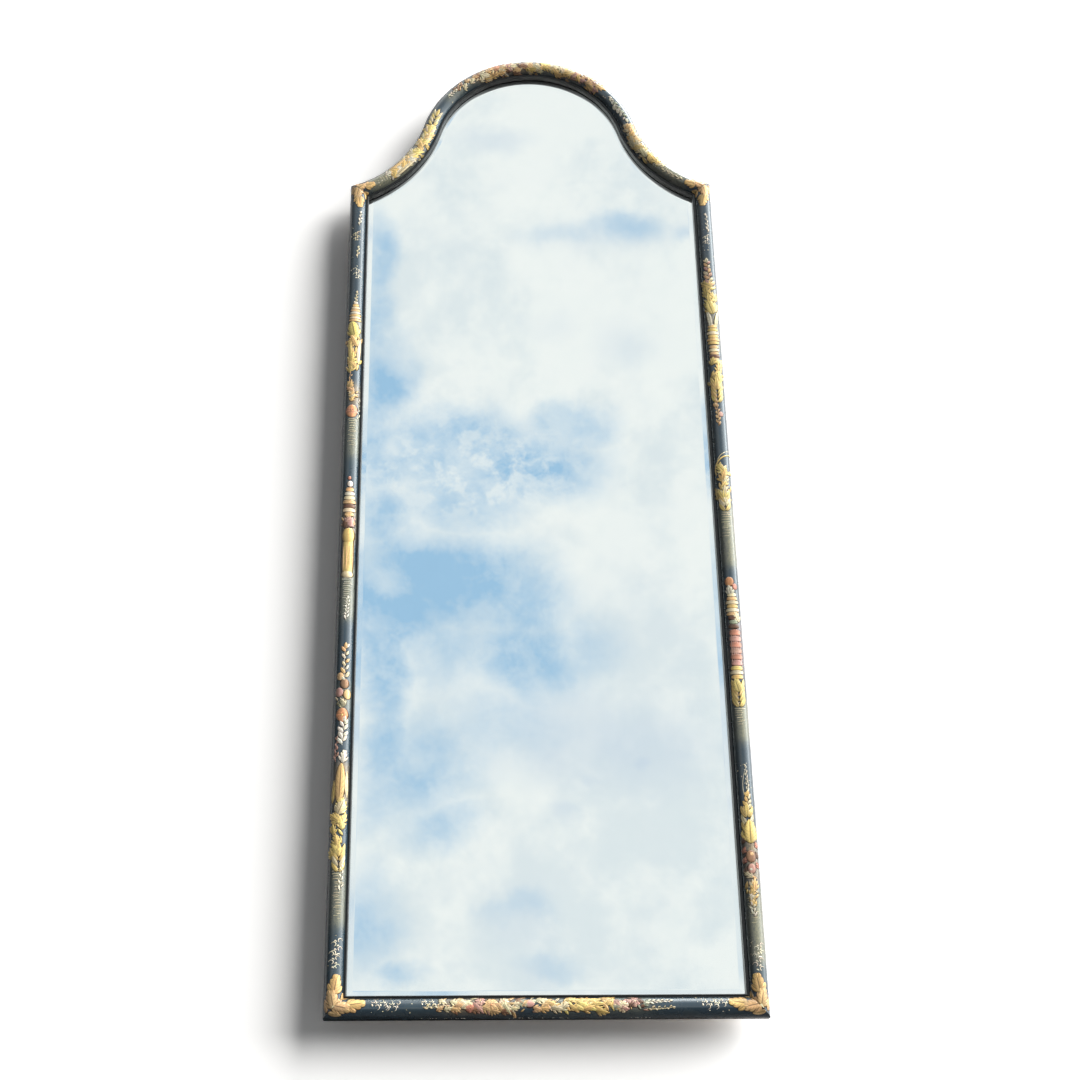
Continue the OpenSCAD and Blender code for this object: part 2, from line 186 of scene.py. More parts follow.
def tubeFaces(count, rings, around):
    # quads between neighbouring rings of each of count closed tubes, and one face over each end
    tube, ring, side = np.meshgrid(np.arange(count), np.arange(rings - 1), np.arange(around), indexing="ij")
    first = (tube * rings + ring) * around
    second = first + around
    nextSide = (side + 1) % around
    quads = np.stack([first + side, first + nextSide, second + nextSide, second + side], axis=-1)
    start = np.arange(count)[:, None] * rings * around
    ends = start + np.arange(around)[None, ::-1]
    tips = start + (rings - 1) * around + np.arange(around)[None, :]
    return quads.reshape(-1, 4).tolist() + ends.tolist() + tips.tolist()


# Raised gilding. Places across the round are girths from its crest, negative outwards.
relief = {
    "leafHeight": 0.6,       # millimetres at the middle of a leaf
    "tendrilHalf": 0.5,      # half the width of a tendril
    "tendrilHeight": 0.4,
    "sunk": 0.3,             # depth of a blade's underside below the lacquer
    "proud": 1.0,            # highest that any blade stands above the lacquer
    "outline": 0.55,         # how far the dark outline, also a painted shadow, shows round a leaf
    "outlineFrom": 1.2,      # half width from which a leaf has one
    "outlineHeight": (0.55, 0.2),    # its share of the leaf's height, and the least
    "spread": 1.14,          # widens the ornament to the girth of the round
    "acrossLimit": 17.4,     # where the quirk starts
    "outerLimit": -28.0,
    "mitreGap": 0.2,         # kept clear at the ends of a member
    "combed": (-10.0, 9.0),  # from where to where the combed strokes lie across the round
    "tintVary": 0.05,        # how far a blade's colour leans to red, green or blue
    "washFade": 14.0,        # over which a wash of colour fades at its ends
    "inward": {              # how far the ornament lies inwards of the crest
        "stile_left": 2.0, "stile_right": 0.6, "bottom_rail": 4.2, "cove_left": 1.6, "cove_right": 1.6,
        "crown": 2.0,
    },
    "leafMesh": (13, 7, 2),  # rings along a blade, points across its top and its underside
    "outlineMesh": (9, 5, 1),
    "tendrilMesh": (26, 5, 1),
}

# Gold, olive and red laid on the black ground as thin washes:
# member, from, to, place across the round, spread across, colour, strength
washes = [
    ("stile_left", 836, 905, 4, 11, "olive", 0.7), ("stile_left", 568, 655, 3, 11, "olive", 0.75),
    ("stile_left", 122, 205, 3, 11, "olive", 0.75), ("stile_left", 1010, 1085, 4, 8, "straw", 0.35),
    ("stile_left", 690, 760, 2, 9, "amber", 0.5), ("stile_left", 425, 470, 2, 10, "olive", 0.5),
    ("stile_left", 925, 960, 4, 9, "amber", 0.35), ("stile_left", 290, 350, 2, 10, "amber", 0.45),
    ("stile_right", 650, 748, -4, 11, "olive", 0.95), ("stile_right", 380, 440, -4, 11, "olive", 0.9),
    ("stile_right", 70, 170, -4, 11, "olive", 0.95), ("stile_right", 480, 560, -3, 9, "rose", 0.45),
    ("stile_right", 1020, 1150, -1, 9, "straw", 0.3), ("stile_right", 180, 240, -3, 9, "amber", 0.4),
    ("bottom_rail", 165, 255, 0, 10, "amber", 0.4), ("bottom_rail", 290, 440, 0, 11, "olive", 0.5),
    ("cove_left", 28, 100, 0, 14, "olive", 1.0), ("cove_left", 92, 150, 0, 11, "straw", 0.45),
    ("cove_right", 40, 112, 0, 13, "olive", 0.85), ("crown", 130, 230, 0, 10, "amber", 0.4),
    ("crown", 60, 130, 1, 9, "olive", 0.45), ("crown", 230, 330, 0, 10, "straw", 0.35),
]

paints = {
    "gold": (248, 214, 136), "yellow": (254, 228, 142), "straw": (242, 228, 188), "tan": (236, 196, 142),
    "amber": (246, 206, 138), "orange": (226, 160, 112), "coral": (206, 140, 118), "rose": (204, 160, 146),
    "cream": (244, 238, 216), "olive": (152, 148, 118), "umber": (104, 72, 50), "brown": (164, 124, 92),
    # shadow is the painted shadow and outline laid under each leaf
    "sage": (162, 168, 146), "ivory": (248, 245, 234), "shadow": (30, 22, 17),
}


def linear(rgb):
    # screen value 0 to 255 into the linear value that shaders work in
    value = np.asarray(rgb, float) / 255
    return np.where(value <= 0.04045, value / 12.92, ((value + 0.055) / 1.055) ** 2.4)


def mouldingSection():
    # outer wall, half-round, quirk, bead, lip and the two rebates, once round
    m = moulding
    r = m["roundRadius"]
    beadRadius = (m["width"] - 2 * r - m["quirk"]) / 2
    beadMid = m["beadTop"] - beadRadius
    climb = np.linspace(0, m["springHeight"], m["wallSteps"] + 1)
    wall = np.stack([np.zeros_like(climb), climb], axis=1)
    fall = math.asin((beadMid - m["springHeight"]) / r)
    bend = np.linspace(-math.pi / 2, math.pi / 2 - fall, m["roundSteps"] + 1)[1:]
    dome = np.stack([r + r * np.sin(bend), m["springHeight"] + r * np.cos(bend)], axis=1)
    quirkFloor = np.array([[2 * r + m["quirk"], beadMid]])
    turn = np.linspace(-math.pi / 2, math.pi / 2, m["beadSteps"] + 1)[1:]
    bead = np.stack([m["width"] - beadRadius + beadRadius * np.sin(turn),
                     beadMid + beadRadius * np.cos(turn)], axis=1)
    inside = np.array([[m["width"], m["lip"]], [m["glassRebate"], m["lip"]],
                       [m["glassRebate"], m["boardDepth"]], [m["boardRebate"], m["boardDepth"]],
                       [m["boardRebate"], 0]])
    return np.concatenate([wall, dome, quirkFloor, bead, inside])


def girth(section):
    # distance across the round from its crest, along the surface: negative outwards, positive inwards
    r = moulding["roundRadius"]
    u, v = section[:, 0], section[:, 1]
    angle = np.arctan2(u - r, np.maximum(v - moulding["springHeight"], 0) + 1e-9)
    return r * angle - np.maximum(moulding["springHeight"] - v, 0) * (u < r) + np.maximum(u - 2 * r, 0)


def groundWash(name, along, across):
    # sum of soft windows: smooth at both ends along the member, a bell across the round
    fade = relief["washFade"]
    tint = np.zeros(along.shape + (3,))
    total = np.zeros(along.shape)
    for member, start, end, middle, spread, colour, strength in washes:
        if member != name:
            continue
        window = 1 / (1 + np.exp(-(along - start) / fade * 4)) / (1 + np.exp((along - end) / fade * 4))
        bell = np.exp(-((across - middle - relief["inward"][name]) / (spread * relief["spread"])) ** 2)
        weight = strength * window * bell
        tint += weight[..., None] * linear(paints[colour])
        total += weight
    tint /= np.maximum(total, 1e-6)[..., None]
    return np.concatenate([tint, np.clip(total, 0, 1)[..., None]], axis=-1)


def makeMember(name):
    # the section carried along the member, each point between its own two mitre ends. Faces past the
    # half-round, counted round the section, take the second material.
    section = mouldingSection()
    first, last = memberEnds(name, section[:, 0])
    rings = int(members[name]["length"] / moulding["ringStep"]) + 1
    share = np.linspace(0, 1, rings)[:, None]
    along = first * (1 - share) + last * share
    inward = np.broadcast_to(section[:, 0], along.shape)
    height = np.broadcast_to(section[:, 1], along.shape)
    points = place(members[name], along, inward, height)
    piece = makeMesh("moulding_" + name, points, tubeFaces(1, rings, len(section)),
                     sharp=moulding["sharpAngle"])
    roundFaces = moulding["wallSteps"] + moulding["roundSteps"]
    side = np.arange((rings - 1) * len(section)) % len(section)
    black = np.concatenate([side >= roundFaces, [False, False]]).astype(np.int32)
    piece.data.polygons.foreach_set("material_index", black)
    across = np.broadcast_to(girth(section), along.shape)
    pointValues(piece, "groundPaint", groundWash(name, along, across), "FLOAT_COLOR")
    pointValues(piece, "seamDistance", np.minimum(along - first, last - along))
    pointValues(piece, "runAcross", np.stack([along, across, height], axis=-1), "FLOAT_VECTOR")
    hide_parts(name)
    return piece


print("moulding")
mouldingPieces = {name: makeMember(name) for name in members}

# Every leaf, petal, berry and tendril is one blade: a closed tube that narrows to both ends, bent along its
# length and laid on the round of the moulding. It starts s along its member and w across it.
bladeFields = ["s", "w", "turn", "length", "half", "height", "bend", "near", "far", "rib", "lift", "vein",
               "red", "green", "blue", "shade"]
blades = {name: [] for name in members}
outlineShadows = {name: [] for name in members}
tendrils = {name: [] for name in members}
seeds = {"stile_left": 11, "stile_right": 23, "bottom_rail": 37, "cove_left": 41, "cove_right": 53, "crown": 67}
hands = {name: np.random.default_rng(seed) for name, seed in seeds.items()}


def addBlade(table, name, s, w, turn, length, half, paint, height=relief["leafHeight"], bend=0.0, near=0.6,
             far=0.8, rib=0.35, lift=0.0, vein=1.0, shade=0.75, vary=0.1):
    # turn is its heading in degrees, bend how much that changes to its tip
    hand = hands[name]
    lean = relief["tintVary"]
    colour = linear(paints[paint]) * (1 + hand.uniform(-vary, vary)) * (1 + hand.uniform(-lean, lean, 3))
    table[name].append([s, w, math.radians(turn), length, half, height, math.radians(bend), near, far, rib,
                        lift, vein, *colour, shade])


def leaf(name, s, w, turn, length, half, paint, **more):
    # the leaf, and a slightly larger dark one below its surface that draws its outline and a painted shadow
    # round it
    addBlade(blades, name, s, w, turn, length, half, paint, **more)
    if half < relief["outlineFrom"]:
        return
    edge = relief["outline"]
    share, least = relief["outlineHeight"]
    shape = {key: value for key, value in more.items() if key in ("bend", "near", "far")}
    top = more.get("lift", 0.0) + more.get("height", relief["leafHeight"])
    angle = math.radians(turn)
    addBlade(outlineShadows, name, s - edge * math.cos(angle), w - edge * math.sin(angle), turn, length + 2 * edge,
             half + edge, "shadow", height=max(least, top * share), rib=0.0, vein=0.0, shade=1.0, vary=0.02,
             **shape)


def tendril(name, s, w, turn, length, paint, bend=0.0, half=relief["tendrilHalf"],
            height=relief["tendrilHeight"]):
    # a line of nearly even width
    addBlade(tendrils, name, s, w, turn, length, half, paint, height=height, bend=bend, near=0.15, far=0.45,
             rib=0.0, vein=0.0, shade=0.95)


def berry(name, s, w, radius, paint, height=0.8, lift=0.0):
    # a round dome with its middle at s and w
    leaf(name, s - radius, w, 0, 2 * radius, radius, paint, height=height, near=0.5, far=0.5, rib=0.0,
         vein=0.0, lift=lift, shade=0.9)


def dots(name, s0, s1, count, colours, spread=10.0, middle=0.0):
    # small berries strewn at random
    hand = hands[name]
    for i in range(count):
        berry(name, hand.uniform(s0, s1), middle + hand.uniform(-spread, spread), hand.uniform(0.45, 0.95),
              colours[i % len(colours)], height=0.3)


def blossom(name, s, w, radius, paint, heart, petals=7):
    # a ring of broad petals, a smaller ring on top, and a beaded heart
    spin = hands[name].uniform(0, 360)
    for i in range(petals):
        turn = spin + 360 * i / petals
        leaf(name, s, w, turn, radius, radius * 0.38, paint, near=0.8, far=0.3, rib=0.3, height=0.7, shade=0.55)
    for i in range(5):
        leaf(name, s, w, spin + 30 + 72 * i, radius * 0.62, radius * 0.26, paint, near=0.8, far=0.3, lift=0.35,
             height=0.55, shade=0.6)
    berry(name, s, w, radius * 0.2, heart, height=0.5, lift=0.6)


def spray(name, s0, s1, w0, w1, colours, count, size, wide=0.3, spread=48):
    # a stem from one place to the other, leaves left and right of it, and one leaf at its tip
    hand = hands[name]
    run, across = s1 - s0, w1 - w0
    heading = math.degrees(math.atan2(across, run))
    reach = math.hypot(run, across)
    tendril(name, s0, w0, heading - 8, reach, colours[0], bend=16)
    for i in range(count):
        share = (i + 0.5) / count
        side = 1 if i % 2 else -1
        length = size * (1.1 - 0.35 * share) * hand.uniform(0.85, 1.15)
        turn = heading + side * (spread + hand.uniform(-10, 10))
        leaf(name, s0 + run * share, w0 + across * share, turn, length, length * wide * hand.uniform(0.85, 1.1),
             colours[i % len(colours)], bend=-side * hand.uniform(15, 45), lift=hand.uniform(0, 0.3))
    leaf(name, s0 + run * 0.92, w0 + across * 0.92, heading, size, size * wide, colours[-1], lift=0.2)


def lobedLeaf(name, s, w, turn, size, paint, wide=0.2, lift=0.1, lobes=2, sharp=0.95):
    # a middle lobe with pairs of side lobes that spring from its midrib, every lobe its own blade
    angle = math.radians(turn)
    for i in range(lobes):
        share = 0.14 + 0.27 * i
        at = (s + size * share * math.cos(angle), w + size * share * math.sin(angle))
        for side in (-1, 1):
            leaf(name, *at, turn + side * (58 - 12 * i), size * (0.5 - 0.09 * i), size * wide * 0.6, paint,
                 near=0.5, far=sharp, bend=-side * 32, rib=0.45, lift=lift * (0.6 + 0.3 * i), shade=0.55)
    leaf(name, s, w, turn, size, size * wide, paint, near=0.5, far=sharp, rib=0.5, lift=lift + 0.15, shade=0.55)


def cluster(name, s0, s1, colours, size=20.0, dense=1.0, spread=8.0):
    # curled lobed leaves one over the other along the crest, swinging from side to side, with single leaves
    # that fill the gaps between them
    hand = hands[name]
    count = max(2, int(abs(s1 - s0) / size * 2.3 * dense))
    forward = 0 if s1 > s0 else 180
    for i in range(count * 2):
        w = hand.uniform(-1.15, 1.15) * spread
        length = size * hand.uniform(0.4, 0.7)
        leaf(name, s0 + (s1 - s0) * hand.uniform(0, 1), w, forward + hand.uniform(-70, 70), length,
             length * hand.uniform(0.16, 0.26), colours[int(hand.integers(len(colours)))], lift=0.0,
             bend=hand.uniform(-40, 40), shade=0.4, rib=0.4)
    for i in range(count):
        share = (i + hand.uniform(0.1, 0.9)) / count
        side = 1 if i % 2 else -1
        w = side * hand.uniform(0.15, 1.0) * spread
        turn = forward - side * hand.uniform(-15, 55)
        length = size * hand.uniform(0.75, 1.15)
        paint = colours[int(hand.integers(len(colours)))]
        lobedLeaf(name, s0 + (s1 - s0) * share - length * 0.3, w, turn, length, paint,
                  wide=hand.uniform(0.15, 0.22), lift=0.25 * (i % 3) / 2)


def chevrons(name, s0, s1, colours, size=17.0, step=7.0):
    # pairs of long leaves that spread from the crest like an ear of wheat, each pair over the last
    count = int(abs(s1 - s0) / step)
    for i in range(count):
        s = s0 + (s1 - s0) * i / count
        for side in (-1, 1):
            leaf(name, s, side * 0.8, side * 42, size, size * 0.19, colours[i % len(colours)], bend=-side * 38,
                 near=0.5, far=0.8, rib=0.45, lift=0.1 + 0.15 * (i % 2), shade=0.55)
    leaf(name, s1 - size * 0.5, 0, 0, size * 1.1, size * 0.2, colours[0], rib=0.5, lift=0.3)


def turned(name, s0, s1, halves, colours, w=0.0):
    # discs, balls and collars one upon the other, as on a turned finial
    step = (s1 - s0) / len(halves)
    for i, half in enumerate(halves):
        leaf(name, s0 + step * (i + 0.5), w - half, 90, 2 * half, abs(step) * 0.6, colours[i % len(colours)],
             near=0.28, far=0.28, rib=0, vein=0, height=0.7, lift=0.12 * (i % 2), shade=0.9)


def ribs(name, s0, s1, paint, step, lean):
    # fine combed strokes across the round that grow shorter and fainter
    hand = hands[name]
    w0, w1 = relief["combed"]
    count = int(abs(s1 - s0) / step)
    for i in range(count):
        share = i / count
        s = s0 + (s1 - s0) * share + hand.uniform(-1.0, 1.0)
        trim = 1.5 + 6.0 * share * hand.uniform(0.4, 1.0)
        tilt = lean * hand.uniform(0.5, 1.8)
        start = w0 + trim + hand.uniform(0, 4)
        length = (w1 - w0 - 2 * trim) * hand.uniform(0.6, 1.0)
        tendril(name, s, start, 90 - tilt, length, paint, bend=2 * tilt, half=0.5 * (1 - 0.5 * share),
                height=0.22)


def scrollWork(name, s, w, size, paint, first, turn=0):
    # a row of curls that swing to either side of the line, each with a bead at its end and a small leaf between
    for i in range(4):
        side = first if i % 2 else -first
        at = s + (i - 1.5) * size * 0.62
        tendril(name, at, w - side * size * 0.34, turn + 72 * side, size * 1.35, paint, bend=-250 * side,
                half=0.75, height=0.5)
        berry(name, at + size * 0.12, w + side * size * 0.28, 0.85, paint, height=0.5)
        leaf(name, at, w, turn + 50 * side, size * 0.42, size * 0.12, paint, height=0.45, vein=0)


def twig(name, s0, s1, w, paint, count, size):
    # a thin spray of one colour that runs along the member
    spray(name, s0, s1, w, w + 1.5, [paint], count, size, wide=0.22, spread=40)


def cornerLeaves(name, s, away, inner, outer, reach):
    # lobed leaves over the mitre: two along the crest, small ones into its outer and inner corner
    forward = 0 if away > 0 else 180
    size = reach * 0.62
    tip = s + away * (inner + reach * 0.36)
    lobedLeaf(name, tip, -1.0, forward + away * 8, size, "amber", wide=0.27, lift=0.0, lobes=3, sharp=0.6)
    leaf(name, s + away * (inner * 0.9 - outer * 0.4), -9, forward - away * 20, size * 0.66, 4.2, "tan",
         rib=0.45, far=0.7, lift=0.0, shade=0.5, bend=away * 20)
    leaf(name, s + away * (inner + 2), 9, forward + away * 20, size * 0.7, 4.4, "amber", rib=0.45, far=0.7,
         lift=0.0, shade=0.5, bend=-away * 20)
    lobedLeaf(name, s + away * (inner - 3), 0, forward - away * 10, size, "tan", wide=0.28, lift=0.22, lobes=3,
              sharp=0.6)
    leaf(name, s + away * (inner - 9), -2, forward + away * 6, size * 0.5, 2.8, "straw", rib=0.4, lift=0.4,
         shade=0.5)


def butterfly(name, s, w, size, paint, edge):
    # two pairs of wings, two feelers and a body
    for side in (-1, 1):
        leaf(name, s, w, side * 52, size, size * 0.34, paint, near=0.8, far=0.4, height=0.5)
        leaf(name, s, w, side * 118, size * 0.72, size * 0.27, edge, near=0.8, far=0.4, height=0.5)
        tendril(name, s + size * 0.3, w, side * 22, size * 0.55, edge, bend=side * 60, half=0.25)
    leaf(name, s - size * 0.4, w, 0, size * 0.8, size * 0.09, edge, lift=0.4, rib=0, vein=0)


# Left stile, distances up from the foot
m = "stile_left"
cornerLeaves(m, 0, 1, 13, 11, 46)
scrollWork(m, 74, -1, 9, "cream", 1)
scrollWork(m, 92, 1, 9, "cream", -1, 10)
dots(m, 66, 112, 8, ["cream", "straw"])
ribs(m, 200, 128, "straw", 3.6, 10)
twig(m, 168, 204, 3, "cream", 8, 7)
chevrons(m, 196, 226, ["yellow", "straw", "gold"], 19)
cluster(m, 214, 292, ["yellow", "yellow", "gold"], 22, 1.25)
lobedLeaf(m, 276, -3, 20, 24, "straw", wide=0.3, lift=0.4)
leaf(m, 292, -2, 2, 58, 8.6, "amber", rib=0.4, height=0.7, lift=0.3, near=0.55, far=0.6)
leaf(m, 300, 9, -6, 40, 4.2, "straw", rib=0.4, bend=8)
leaf(m, 292, -11, 4, 34, 3.6, "gold", rib=0.4)
lobedLeaf(m, 350, 1, 8, 20, "cream", wide=0.2, lift=0.2, lobes=3)
twig(m, 352, 386, -8, "rose", 7, 7)
spray(m, 376, 414, 0, 2, ["ivory", "cream"], 9, 11)
berry(m, 421, -1, 10.5, "orange")
blossom(m, 421, -1, 8, "orange", "yellow", 8)
cluster(m, 430, 448, ["sage", "olive", "straw"], 14, 1.0)
berry(m, 452, 5, 7.5, "tan")
berry(m, 455, -6, 7, "rose")
berry(m, 468, 1, 7.5, "brown", height=0.9, lift=0.1)
berry(m, 479, -5, 6, "tan")
spray(m, 470, 526, 1, 1, ["cream", "straw", "tan"], 10, 10)
twig(m, 566, 602, 0, "ivory", 12, 6)
ribs(m, 640, 572, "cream", 3.2, 9)
leaf(m, 638, 0, 0, 62, 10.0, "amber", near=0.1, far=0.1, rib=0, height=0.6, lift=0.1, shade=0.85, vein=0)
leaf(m, 690, 0, 0, 24, 11.0, "gold", near=0.3, far=0.3, rib=0, height=0.7, lift=0.3, vein=0)
leaf(m, 634, 0, 0, 10, 10.6, "straw", near=0.3, far=0.3, rib=0, height=0.5, lift=0.35, vein=0)
for i in range(4):
    leaf(m, 644 + 2 * i, -6 + 4 * i, 0, 42, 1.0, "tan", height=0.3, lift=0.65, rib=0, vein=0, shade=0.9)
berry(m, 724, 3, 8, "rose", height=0.7)
berry(m, 722, -6, 6, "umber", height=0.7)
cluster(m, 712, 734, ["rose", "tan", "umber"], 12, 1.0)
turned(m, 734, 782, [6.5, 9.5, 8.5, 9.5, 8, 7, 5.5], ["tan", "straw", "umber", "tan", "straw", "cream"])
berry(m, 788, 0, 5.2, "ivory")
berry(m, 798, -1, 3.0, "coral", height=0.6)
ribs(m, 900, 850, "straw", 3.6, 12)
berry(m, 914, -1, 11, "orange")
blossom(m, 914, -1, 8.5, "coral", "orange", 8)
twig(m, 898, 936, 9, "cream", 8, 6)
cluster(m, 930, 962, ["tan", "straw", "amber"], 15, 1.1)
twig(m, 955, 990, -5, "tan", 6, 6)
cluster(m, 986, 1052, ["yellow", "gold", "yellow", "amber"], 23, 1.2)
leaf(m, 1000, 6, -2, 46, 4.6, "straw", lift=0.35, bend=12)
leaf(m, 1006, -6, 4, 38, 4.2, "yellow", lift=0.35, bend=-14)
lobedLeaf(m, 1048, 0, -10, 28, "yellow", wide=0.36, lift=0.4, sharp=0.5)
turned(m, 1076, 1112, [9.5, 8.5, 9, 7.5, 7, 6, 4.5, 3], ["tan", "straw", "amber", "cream"])
twig(m, 1108, 1130, 0, "straw", 7, 5)
scrollWork(m, 1164, 1, 8, "cream", 1)
twig(m, 1196, 1216, 0, "straw", 5, 5)
scrollWork(m, 1236, -2, 7, "straw", -1)
twig(m, 1258, 1284, 2, "cream", 7, 6)
dots(m, 1130, 1260, 12, ["cream", "straw"])
cornerLeaves(m, members[m]["length"], -1, 9, 8, 40)

# Right stile
m = "stile_right"
cornerLeaves(m, 0, 1, 13, 11, 45)
scrollWork(m, 68, -1, 9, "cream", -1)
scrollWork(m, 84, -3, 8, "cream", 1)
dots(m, 70, 100, 10, ["cream", "straw"], 8)
ribs(m, 172, 120, "straw", 3.6, -10)
twig(m, 130, 160, 0, "cream", 10, 7)
cluster(m, 148, 192, ["gold", "amber", "straw"], 17, 1.0)
# two fruits, each with a small pale dome on top as a painted highlight
berry(m, 197, -1, 6.8, "rose", lift=0.1)
berry(m, 196, 0, 2.4, "ivory", height=0.3, lift=0.7)
berry(m, 214, -1, 8.4, "brown", height=0.85, lift=0.1)
berry(m, 217, -2, 3.2, "tan", height=0.3, lift=0.75)
for i in range(7):
    side = -1 if i % 2 else 1
    lobedLeaf(m, 190 + 7 * i, -11 if i % 2 else 9, -20 * side, 11, "coral" if i % 3 else "umber", lift=0.1)
lobedLeaf(m, 232, -2, 0, 34, "yellow", wide=0.3, lift=0.4, sharp=0.7)
chevrons(m, 236, 280, ["yellow", "gold", "straw"], 18, 9)
spray(m, 272, 300, 0, -2, ["straw", "gold"], 8, 10)
twig(m, 296, 344, -3, "cream", 14, 5)
tendril(m, 300, 2, 10, 40, "cream", bend=-30)
dots(m, 290, 350, 14, ["cream", "straw"])
ribs(m, 436, 400, "straw", 3.6, -10)
chevrons(m, 430, 462, ["yellow", "yellow", "gold"], 20)
lobedLeaf(m, 452, -1, 12, 22, "yellow", wide=0.3, lift=0.4)
turned(m, 472, 492, [8, 9, 8], ["gold", "straw", "gold"])
turned(m, 492, 548, [7.5, 8, 8, 8, 8, 7.5], ["rose", "coral"], -1)
for i in range(5):
    tendril(m, 494, -7 + 3 * i, 2 - i * 0.8, 53, "rose", half=0.8, height=0.75)
turned(m, 550, 570, [7, 5.5, 6.5], ["umber", "sage"])
turned(m, 570, 606, [8.5, 9.5, 7.5, 9, 7, 6], ["tan", "straw", "amber", "straw"])
lobedLeaf(m, 560, -8, 20, 18, "straw", lift=0.3)
lobedLeaf(m, 602, 1, 8, 18, "cream", wide=0.24, lift=0.3)
berry(m, 624, 2, 7.5, "orange")
berry(m, 616, -5, 5.0, "coral", height=0.7)
ribs(m, 742, 696, "straw", 3.6, -10)
chevrons(m, 740, 768, ["yellow", "straw", "gold"], 18)
cluster(m, 752, 812, ["gold", "yellow", "straw"], 22, 1.15)
tendril(m, 800, 9, 20, 62, "gold", bend=-128, half=1.5, height=0.9)
tendril(m, 808, 4, 32, 44, "straw", bend=-110, half=0.8)
twig(m, 884, 930, 1, "tan", 12, 7)
berry(m, 905, -3, 4.5, "rose", height=0.6)
berry(m, 922, 4, 4, "tan", height=0.6)
chevrons(m, 926, 962, ["yellow", "gold"], 19)
cluster(m, 944, 1000, ["yellow", "yellow", "gold"], 23, 1.2)
turned(m, 1000, 1028, [6.5, 8, 6.5, 8, 6.5], ["tan", "umber", "tan", "straw"])
turned(m, 1030, 1066, [8.5, 9.5, 7.5, 9, 7.5, 6.5], ["gold", "amber", "gold", "straw"])
leaf(m, 1058, 2, 3, 40, 4.2, "cream", lift=0.3, bend=8)
leaf(m, 1060, -4, -6, 34, 3.8, "straw", lift=0.3, bend=-8)
lobedLeaf(m, 1086, -2, 14, 26, "yellow", wide=0.34, lift=0.35, sharp=0.6)
cluster(m, 1092, 1146, ["yellow", "yellow", "gold"], 23, 1.1)
spray(m, 1138, 1186, 0, 2, ["tan", "rose", "straw"], 12, 10)
scrollWork(m, 1226, 0, 7, "cream", 1)
twig(m, 1240, 1276, -3, "cream", 8, 6)
dots(m, 1190, 1275, 12, ["cream", "straw"])
cornerLeaves(m, members[m]["length"], -1, 9, 8, 41)

# Bottom rail, distances from its left end
m = "bottom_rail"
cornerLeaves(m, 0, 1, 13, 11, 46)
scrollWork(m, 74, 1, 9, "cream", 1)
scrollWork(m, 92, -1, 8, "cream", -1)
dots(m, 64, 126, 12, ["cream", "straw"])
scrollWork(m, 140, 2, 8, "cream", 1)
twig(m, 134, 162, -3, "straw", 8, 6)
cluster(m, 152, 190, ["straw", "tan", "brown"], 15, 1.1)
berry(m, 198, -4, 7.5, "coral")
blossom(m, 198, -4, 6, "coral", "orange", 7)
blossom(m, 184, 5, 6, "straw", "gold")
blossom(m, 226, -1, 9.5, "tan", "orange", 8)
blossom(m, 211, 5, 7, "rose", "gold")
blossom(m, 243, 4, 7, "straw", "coral")
cluster(m, 172, 266, ["straw", "tan", "brown", "tan", "rose"], 18, 1.22)
berry(m, 277, 1, 7, "rose")
cluster(m, 256, 300, ["sage", "straw", "rose", "tan"], 16, 1.15)
cluster(m, 292, 388, ["gold", "yellow", "straw", "amber"], 20, 1.22)
chevrons(m, 330, 368, ["gold", "yellow"], 18)
butterfly(m, 345, 9, 8, "straw", "umber")
blossom(m, 402, -3, 8, "straw", "rose")
blossom(m, 418, 3, 7.5, "rose", "straw")
cluster(m, 386, 434, ["sage", "tan", "rose", "umber"], 16, 1.15)
twig(m, 430, 466, 2, "cream", 12, 6)
twig(m, 434, 470, -6, "straw", 9, 5)
scrollWork(m, 516, 0, 9, "cream", 1)
scrollWork(m, 532, 2, 8, "cream", -1)
dots(m, 465, 545, 12, ["cream", "straw"])
dots(m, 128, 196, 16, ["ivory"], 0.6, -19)
dots(m, 250, 330, 18, ["ivory", "cream"], 0.6, -19)
dots(m, 410, 440, 7, ["ivory"], 0.6, -19)
cornerLeaves(m, members[m]["length"], -1, 13, 11, 45)

# Left cove, distances up from the shoulder
m = "cove_left"
cornerLeaves(m, 0, 1, 8, 8, 32)
dots(m, 34, 84, 18, ["straw", "cream"], 10)
ribs(m, 76, 48, "straw", 3.6, 12)
cluster(m, 64, 126, ["straw", "cream", "cream", "gold"], 22, 1.7, 9.5)
leaf(m, 74, 7, -8, 44, 4.4, "straw", lift=0.3, bend=14)
leaf(m, 72, -7, 8, 40, 4.2, "amber", lift=0.3, bend=-12)
cluster(m, 116, 186, ["yellow", "straw", "gold"], 23, 1.6, 9.5)
chevrons(m, 150, 182, ["yellow", "straw"], 17)

# Right cove
m = "cove_right"
cornerLeaves(m, 0, 1, 8, 8, 34)
ribs(m, 100, 56, "straw", 3.6, 12)
twig(m, 44, 84, 1, "straw", 9, 6)
cluster(m, 90, 152, ["yellow", "gold", "straw"], 21, 1.6, 9.5)
cluster(m, 142, 186, ["tan", "amber", "straw"], 18, 1.5, 9)
spray(m, 150, 190, 0, 3, ["tan", "straw"], 8, 12)

